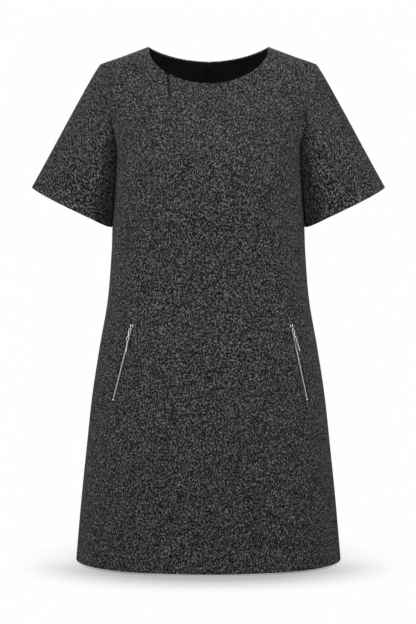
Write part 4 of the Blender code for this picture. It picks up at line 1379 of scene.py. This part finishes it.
def copies(model, places):
    """The model at each place, each with its own mesh. The model itself is removed."""
    made = []
    for place in places:
        twin = model.copy()
        twin.data = model.data.copy()
        twin.data.transform(place)
        scene.collection.objects.link(twin)
        made.append(twin)
    bpy.data.objects.remove(model)
    return made


def hardware(name, parts, place, node, slot, body="dress"):
    """One piece from parts in millimetres: joined, moved to its place on the dress, and finished."""
    bpy.ops.object.select_all(action="DESELECT")
    for part in parts:
        part.select_set(True)
    bpy.context.view_layer.objects.active = parts[0]
    if len(parts) > 1:
        bpy.ops.object.join()
    piece = bpy.context.object
    piece.name = name
    piece.data.name = name
    piece.data.transform(Matrix.Scale(MM, 4) @ place)
    piece.data.update()
    finished(piece, node, body, slot)


# %% [markdown]
# # Sliders and pulls
# A slider is two plates with a wedge between them, and a small arch on top, the crown, that the pull hangs
# from. Its upper plate is a drop shape with a raised rim round a hollow, and a dark drop set in that hollow
# is painted shade that stands for the shade falling there. A cylinder gives the rim its round end, and rings
# of its points are narrowed one after another to make the drop. The pull is a flat ring with a narrow shaft
# that widens to its end, drawn out of a small block in steps.

# %% Parts of a slider
PULL_HEIGHT = 2.6
CROWN_RADIUS = 1.8
CROWN_BAR = 0.52
PLATE_SIDES = 36
PLATE_ROUND = 0.18
# how many times a plate is narrowed, and over which shares of its length. Its own round end narrows it too,
# so the factors together stay above what its half width at the end asks for
NARROWINGS = 6
NARROW_FROM = 0.25
NARROW_OVER = 0.65
NARROW_LESS = 1.9
HOLLOW_WALL = 0.15
UNDER_ROUND = 0.3
NECK_ROUND = 0.12


def drop_plate(top_half, end_half, down, out, hollow=0.0, rim=0.0):
    """A plate from a round top to a narrow end. A hollow of some depth leaves a rim round it."""
    length = down[1] - down[0]
    bpy.ops.object.select_all(action="DESELECT")
    middle = (0.0, (down[0] + down[1]) / 2, (out[0] + out[1]) / 2)
    bpy.ops.mesh.primitive_cylinder_add(vertices=PLATE_SIDES, radius=1.0, depth=out[1] - out[0],
                                        location=middle)
    piece = fixed((top_half, length / 2, 1.0))
    each = (end_half / top_half * NARROW_LESS) ** (1 / NARROWINGS)
    for k in range(NARROWINGS):
        start = down[0] + length * (NARROW_FROM + NARROW_OVER * k / NARROWINGS)
        resized(piece, lambda co, start=start: co.y > start, (each, 1.0, 1.0))
    if hollow:
        pick(piece, lambda co: co.z > out[1] - TOUCH, "FACE")
        bpy.ops.mesh.inset(thickness=rim, depth=0.0)
        bpy.ops.mesh.inset(thickness=HOLLOW_WALL, depth=-hollow)
        bpy.ops.object.mode_set(mode="OBJECT")
    soften(piece, PLATE_ROUND)
    return piece


def slider_parts(plate, neck, under, hinge_down):
    """The plates, the neck between them and the crown above."""
    crown = ring((0.0, hinge_down, PULL_HEIGHT), CROWN_RADIUS, CROWN_BAR, rotation=(0.0, pi / 2, 0.0))
    return [drop_plate(*plate), box(neck, NECK_ROUND), box(under, UNDER_ROUND), crown]


# %% Parts of a pull
RING_MAJOR = 2.8
RING_MINOR = 0.7
RING_FLATNESS = 0.75
SHAFT_THICK = 0.8
SHAFT_START = 0.4
PULL_REST_TILT = radians(-3.0)


def pull_parts(stations, rounding):
    """A ring and a shaft. Each station is how far down from the hinge and half the shaft's width there."""
    head = ring((0.0, RING_MAJOR, 0.0), RING_MAJOR, RING_MINOR, flatness=RING_FLATNESS)
    start, half = stations[0]
    shaft = block((0.0, start, 0.0), (2 * half, SHAFT_START, SHAFT_THICK))
    end = start + SHAFT_START / 2
    for down, next_half in stations[1:]:
        pick(shaft, lambda co, end=end: abs(co.y - end) < TOUCH, "FACE")
        bpy.ops.mesh.extrude_region_move(TRANSFORM_OT_translate={"value": (0.0, down - end, 0.0)})
        bpy.ops.transform.resize(value=(next_half / half, 1.0, 1.0), center_override=(0.0, down, 0.0))
        bpy.ops.object.mode_set(mode="OBJECT")
        end, half = down, next_half
    soften(shaft, rounding)
    parts = [head, shaft]
    for part in parts:
        part.data.transform(Matrix.Rotation(PULL_REST_TILT, 4, "X"))
    return parts


# %% [markdown]
# # The pocket zips
# Each pocket opening is a slit with turned edges, and the zip lies behind it: two woven tapes, and a row of
# metal teeth clamped on their edges, left and right by turns. One tooth is made and copied down the line of
# the slit. At rest the slider is at the top, where two slim stops hold it, and a wider stop closes the
# bottom.

# %% The line of a zip
ZIP_RUN = (459.0, 492.0)
SLIDER_START = 6.2
HINGE_DOWN = 16.3


def line_of(points, normals):
    """A function from a length down the zip to the place there."""
    lengths = running((b - a).length for a, b in zip(points, points[1:]))

    def place(s):
        i = 0
        while i < len(points) - 2 and s > lengths[i + 1]:
            i += 1
        share = (s - lengths[i]) / (lengths[i + 1] - lengths[i])
        down = points[i + 1] - points[i]
        near = mix(normals[i], normals[i + 1], min(max(share, 0.0), 1.0))
        return frame_at(points[i] + down * share, down, near)

    return place, lengths[-1]


def slit_lip(side, drop):
    """The two edges of the slit at a drop, and the normal between them."""
    spots = []
    for column in (SLIT_COLUMN, SLIT_COLUMN + 1):
        angle = zip_angles(side)(drop)[column]
        spots.append(body_point(-1, side * to_x(angle, drop), drop))
    normal = (body_normal(-1, spots[0]) + body_normal(-1, spots[1])).normalized()
    return (spots[0] + spots[1]) / 2, normal


def stiff_place(side, s):
    """The place for a stiff piece, square to the top run of the slit."""
    (top, top_out), (end, end_out) = (slit_lip(side, drop) for drop in ZIP_RUN)
    square = frame_at(top, end - top, (top_out + end_out).normalized())
    square.translation = top + (end - top).normalized() * s
    return square


# %% Teeth of the pocket zips
TOOTH = (2.8, 0.9, 3.1)
TOOTH_NECK = -1.0
TOOTH_FOOT = (0.45, 0.9, 1.0)
TOOTH_ROUND = 0.14
TOOTH_PITCH = 1.1
TEETH_START = 13.0
TEETH_END_GAP = 4.4
TOOTH_OFFSET = 0.3


def make_tooth():
    """A block whose foot is drawn in to the tapes' edges, then the whole is softened."""
    tooth = block((0.0, 0.0, -TOOTH[2] / 2), TOOTH)
    resized(tooth, lambda co: co.z < TOOTH_NECK, TOOTH_FOOT)
    soften(tooth, TOOTH_ROUND, segments=1)
    return tooth


def make_teeth(name, place, length):
    spots = []
    count = int((length - TEETH_END_GAP - TEETH_START) / TOOTH_PITCH)
    for k in range(count):
        shift = Matrix.Translation((TOOTH_OFFSET * (1 if k % 2 else -1), 0.0, 0.0))
        spots.append(place(TEETH_START + k * TOOTH_PITCH) @ shift)
    hardware(f"{name}_teeth", copies(make_tooth(), spots), Matrix(), f"{name}_chain", "nickel")


print("tooth", TOOTH, "mm, one each", TOOTH_PITCH)

# %% A zip's tape
TAPE = 1.0
TAPE_GAP = 0.55
TAPE_HALF_GAP = 0.6
TAPE_REACH = 13.0
TAPE_COLUMNS = 4
TAPE_ROUND = 0.25
TAPE_CELLS = 6


def make_tape(node, rows):
    """A woven strip. Each row holds its near edge, its far edge and their normals, on the panel's back."""
    shares = [c / TAPE_COLUMNS for c in range(TAPE_COLUMNS + 1)]
    outer = []
    normals = []
    for near, near_normal, far, far_normal in rows:
        line = [mix(near_normal, far_normal, share).normalized() for share in shares]
        outer.append([mix(near, far, share) - normal * TAPE_GAP for share, normal in zip(shares, line)])
        normals.append(line)
    inner = move_back(outer, normals, TAPE)
    lengths = running((b[0] - a[0]).length for a, b in zip(outer, outer[1:]))
    down = rows[-1][0] - rows[0][0]
    if (rows[0][2] - rows[0][0]).cross(down).dot(rows[0][1]) > 0:
        outer = [line[::-1] for line in outer]
        inner = [line[::-1] for line in inner]
    width = (rows[0][2] - rows[0][0]).length

    def uv(r, c):
        return width * shares[c] * MM, lengths[r] * MM

    piece = cloth_piece(node, outer, inner, uv, "zip_tape", TAPE_ROUND, segments=1)


# %% The two pocket zips
# each box is its low and high across the zip, down it and out of the cloth
FOOT_STOP = ((-1.9, 1.9), (0.0, 3.2), (-2.6, 0.2))
FOOT_STOP_ROUND = 0.5
FOOT_STOP_RISE = 4.2
HEAD_STOP = ((-0.75, 0.75), (0.0, 5.4), (-2.2, 0.5))
HEAD_STOP_ROUND = 0.45
HEAD_STOP_PLACE = (2.3, 1.2)
HEAD_STOP_TURN = 0.12
# a plate's half width at the top and the end, its low and high down and out, a hollow's depth and its rim
PLATE = (3.3, 0.9, (1.2, 15.2), (0.35, 1.7), 0.85, 1.0)
# painted shade: a dark drop set in the slider's hollow; half width at the top and the end, low and high down
# and out
PAINTED_SHADE_WELL = (2.2, 0.5, (2.4, 11.8), (0.5, 0.95))
NECK = ((-0.65, 0.65), (3.0, 6.4), (-4.8, 0.6))
UNDER_PLATE = ((-3.2, 3.2), (1.8, 14.0), (-5.3, -4.3))
SHAFT = ((5.4, 0.85), (10.0, 0.85), (17.0, 1.0), (21.5, 1.5), (23.3, 1.6), (24.0, 1.1))
SHAFT_ROUND = 0.2
# how many degrees each pull hangs aside on its crown
PULL_TURN = {-1: 5.6, 1: 12.5}


def tape_edges(near, step, rows):
    """Near edge, far edge and their normals, down one side of a slit."""
    panel_back = move_back(front_grid, front_normals, CLOTH)
    edges = []
    for r in rows:
        start = panel_back[r][near]
        ahead = (panel_back[r][near + step] - start).normalized()
        far = near
        while (abs(far + step - near) < TAPE_CELLS
               and (panel_back[r][far] - start).length < TAPE_REACH - SLIT_HALF):
            far += step
        edges.append((start - ahead * (SLIT_HALF - TAPE_HALF_GAP), front_normals[r][near],
                      panel_back[r][far], front_normals[r][far]))
    return edges


def make_pocket_zip(side, label):
    """One whole zip. Its names start with zip_left or zip_right."""
    name = f"zip_{label}"
    outer_column = SLIT_COLUMN if side < 0 else LAST - SLIT_COLUMN
    inner_column = outer_column - side
    rows = range(SLIT_ROWS[0], SLIT_ROWS[1] + 1)
    middle = [(front_grid[r][outer_column] + front_grid[r][inner_column]) / 2 for r in rows]
    out = [(front_normals[r][outer_column] + front_normals[r][inner_column]).normalized() for r in rows]
    place, length = line_of(middle, out)
    for tape, near, step in (("tape_side", outer_column, side), ("tape_front", inner_column, -side)):
        make_tape(f"{name}_{tape}", tape_edges(near, step, rows))
    make_teeth(name, place, length)

    foot = box(FOOT_STOP, FOOT_STOP_ROUND)
    hardware(f"{name}_foot_stop", [foot], place(length - FOOT_STOP_RISE), f"{name}_stop_bottom", "nickel")
    for letter, turn in (("a", 1), ("b", -1)):
        bar = box(HEAD_STOP, HEAD_STOP_ROUND)
        spot = Matrix.Translation((turn * HEAD_STOP_PLACE[0], HEAD_STOP_PLACE[1], 0.0))
        bar.data.transform(spot @ Matrix.Rotation(turn * HEAD_STOP_TURN, 4, "Z"))
        hardware(f"{name}_head_stop_{letter}", [bar], place(0.0), f"{name}_stop_top_{letter}", "nickel")

    square = stiff_place(side, SLIDER_START)
    parts = slider_parts(PLATE, NECK, UNDER_PLATE, HINGE_DOWN)
    hardware(f"{name}_slider_metal", parts, square, f"{name}_slider", "nickel")
    # the dark enamel drop in the slider's hollow is painted shade, not a part of the metal
    hardware(f"{name}_slider_well", [drop_plate(*PAINTED_SHADE_WELL)], square, f"{name}_slider", "dark_enamel")

    hinge = stiff_place(side, SLIDER_START + HINGE_DOWN) @ Matrix.Translation((0.0, 0.0, PULL_HEIGHT))
    hinge = hinge @ Matrix.Rotation(radians(PULL_TURN[side]), 4, "Z")
    parts = pull_parts(SHAFT, SHAFT_ROUND)
    hardware(f"{name}_pull_metal", parts, hinge, f"{name}_pull", "nickel", f"{label}_pull")


for side, label in SIDES:
    make_pocket_zip(side, label)

# %% [markdown]
# # The concealed zip
# Down the centre back runs a zip that doesn't show from outside: its coil of nylon lies behind the seam,
# and only the crown and the drop-shaped pull stand out at the neck. The coil is one small loop, copied down
# the seam.

# %% Sizes of the zip of the centre back
BACK_SLIDER_START = 1.2
BACK_HINGE_DOWN = 9.0
BACK_ZIP_END = 430.0
# how far each tape's edge keeps from the seam beside the slider, and below it, where one passes behind it
BACK_TAPE_INNER = {-1: (1.0, 0.9), 1: (1.0, -0.6)}
BACK_TAPE_CLOSE = (10.0, 15.0)
BACK_TAPE_REACH = 11.0
COIL_START = 17.0
COIL_PITCH = 1.7
COIL_LIFT = -4.7
COIL_LOOP = (1.05, 0.32)
COIL_SIDES = (8, 4)
COIL_STRETCH = (1.25, 1.0, 0.45, 1.0)
COIL_END_GAP = 1.0
print("coil from", COIL_START, "mm down, one loop each", COIL_PITCH)

# %% Its line, tapes and coil
right_grid, right_normals = backs[1][:2]
back_rows = [r for r in range(len(right_grid)) if -right_grid[r][HALF_COLUMNS].z < BACK_ZIP_END]
seam_out = [without(right_normals[r][HALF_COLUMNS], 0) for r in back_rows]
seam = [Vector((0.0, right_grid[r][HALF_COLUMNS].y, right_grid[r][HALF_COLUMNS].z)) for r in back_rows]
seam_place, seam_length = line_of(seam, seam_out)

for side, label in SIDES:
    grid, normals, piece = backs[side]
    behind = move_back(grid, normals, CLOTH)
    near = 0 if side < 0 else HALF_COLUMNS
    edges = []
    for r, normal in zip(back_rows, seam_out):
        edge = behind[r][near]
        far = near
        while abs(behind[r][far].x) < BACK_TAPE_REACH:
            far -= side
        run = abs(behind[r][far].x) - abs(edge.x)
        closed = ease(-edge.z - NECK_DROP[1], *BACK_TAPE_CLOSE)
        start = (mix(*BACK_TAPE_INNER[side], closed) - abs(edge.x)) / run
        share = (BACK_TAPE_REACH - abs(edge.x)) / run
        edges.append((mix(edge, behind[r][far], start), normal, mix(edge, behind[r][far], share), normal))
    make_tape(f"back_zip_tape_{label}", edges)

loop = ring((0.0, 0.0, 0.0), *COIL_LOOP, rotation=(pi / 2, 0.0, 0.0), segments=COIL_SIDES)
loop.data.transform(Matrix.Diagonal(COIL_STRETCH))
count = int((seam_length - COIL_END_GAP - COIL_START) / COIL_PITCH)
lift = Matrix.Translation((0.0, 0.0, COIL_LIFT))
turns = [seam_place(COIL_START + k * COIL_PITCH) @ lift for k in range(count)]
hardware("back_zip_coil_loops", copies(loop, turns), Matrix(), "back_zip_coil", "dark_enamel")

# %% The slider and drop pull at the neck
BACK_RUN = (13.5, 30.65)
BACK_PLATE = (1.9, 1.5, (0.2, 13.1), (0.35, 1.35))
BACK_NECK = ((-0.6, 0.6), (3.0, 9.0), (-4.8, 0.6))
BACK_UNDER_PLATE = ((-2.6, 2.6), (1.0, 14.0), (-5.3, -4.3))
DROP_SHAFT = ((5.4, 0.75), (9.0, 1.0), (13.0, 1.8), (16.5, 2.7), (18.6, 2.9), (20.8, 2.6), (22.4, 1.9),
              (23.2, 1.1))
DROP_SHAFT_ROUND = 0.25
top, end = (body_point(1, 0.0, drop) for drop in BACK_RUN)
neck_place = frame_at(top, end - top, seam_out[0])


def down_the_back(s):
    place = neck_place.copy()
    place.translation = top + neck_place.col[1].to_3d() * s
    return place


parts = slider_parts(BACK_PLATE, BACK_NECK, BACK_UNDER_PLATE, BACK_HINGE_DOWN)
hardware("back_zip_slider_metal", parts, down_the_back(BACK_SLIDER_START), "back_zip_slider", "dark_enamel")
hinge = down_the_back(BACK_SLIDER_START + BACK_HINGE_DOWN) @ Matrix.Translation((0.0, 0.0, PULL_HEIGHT))
parts = pull_parts(DROP_SHAFT, DROP_SHAFT_ROUND)
hardware("back_zip_pull_metal", parts, hinge, "back_zip_pull", "dark_enamel", "back_pull")
print("hinge", [round(v, 2) for v in hinge.translation])

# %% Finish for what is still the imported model's own
for name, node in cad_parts.items():
    for slot in node.material_slots:
        label = slot.material.name.split(".")[0] if slot.material else "tweed"
        slot.material = FINISHES.get(label, FINISHES["nickel"])

# %% The two back sheets, one after the other
for side in (-1, 1):
    piece = backs[side][2]
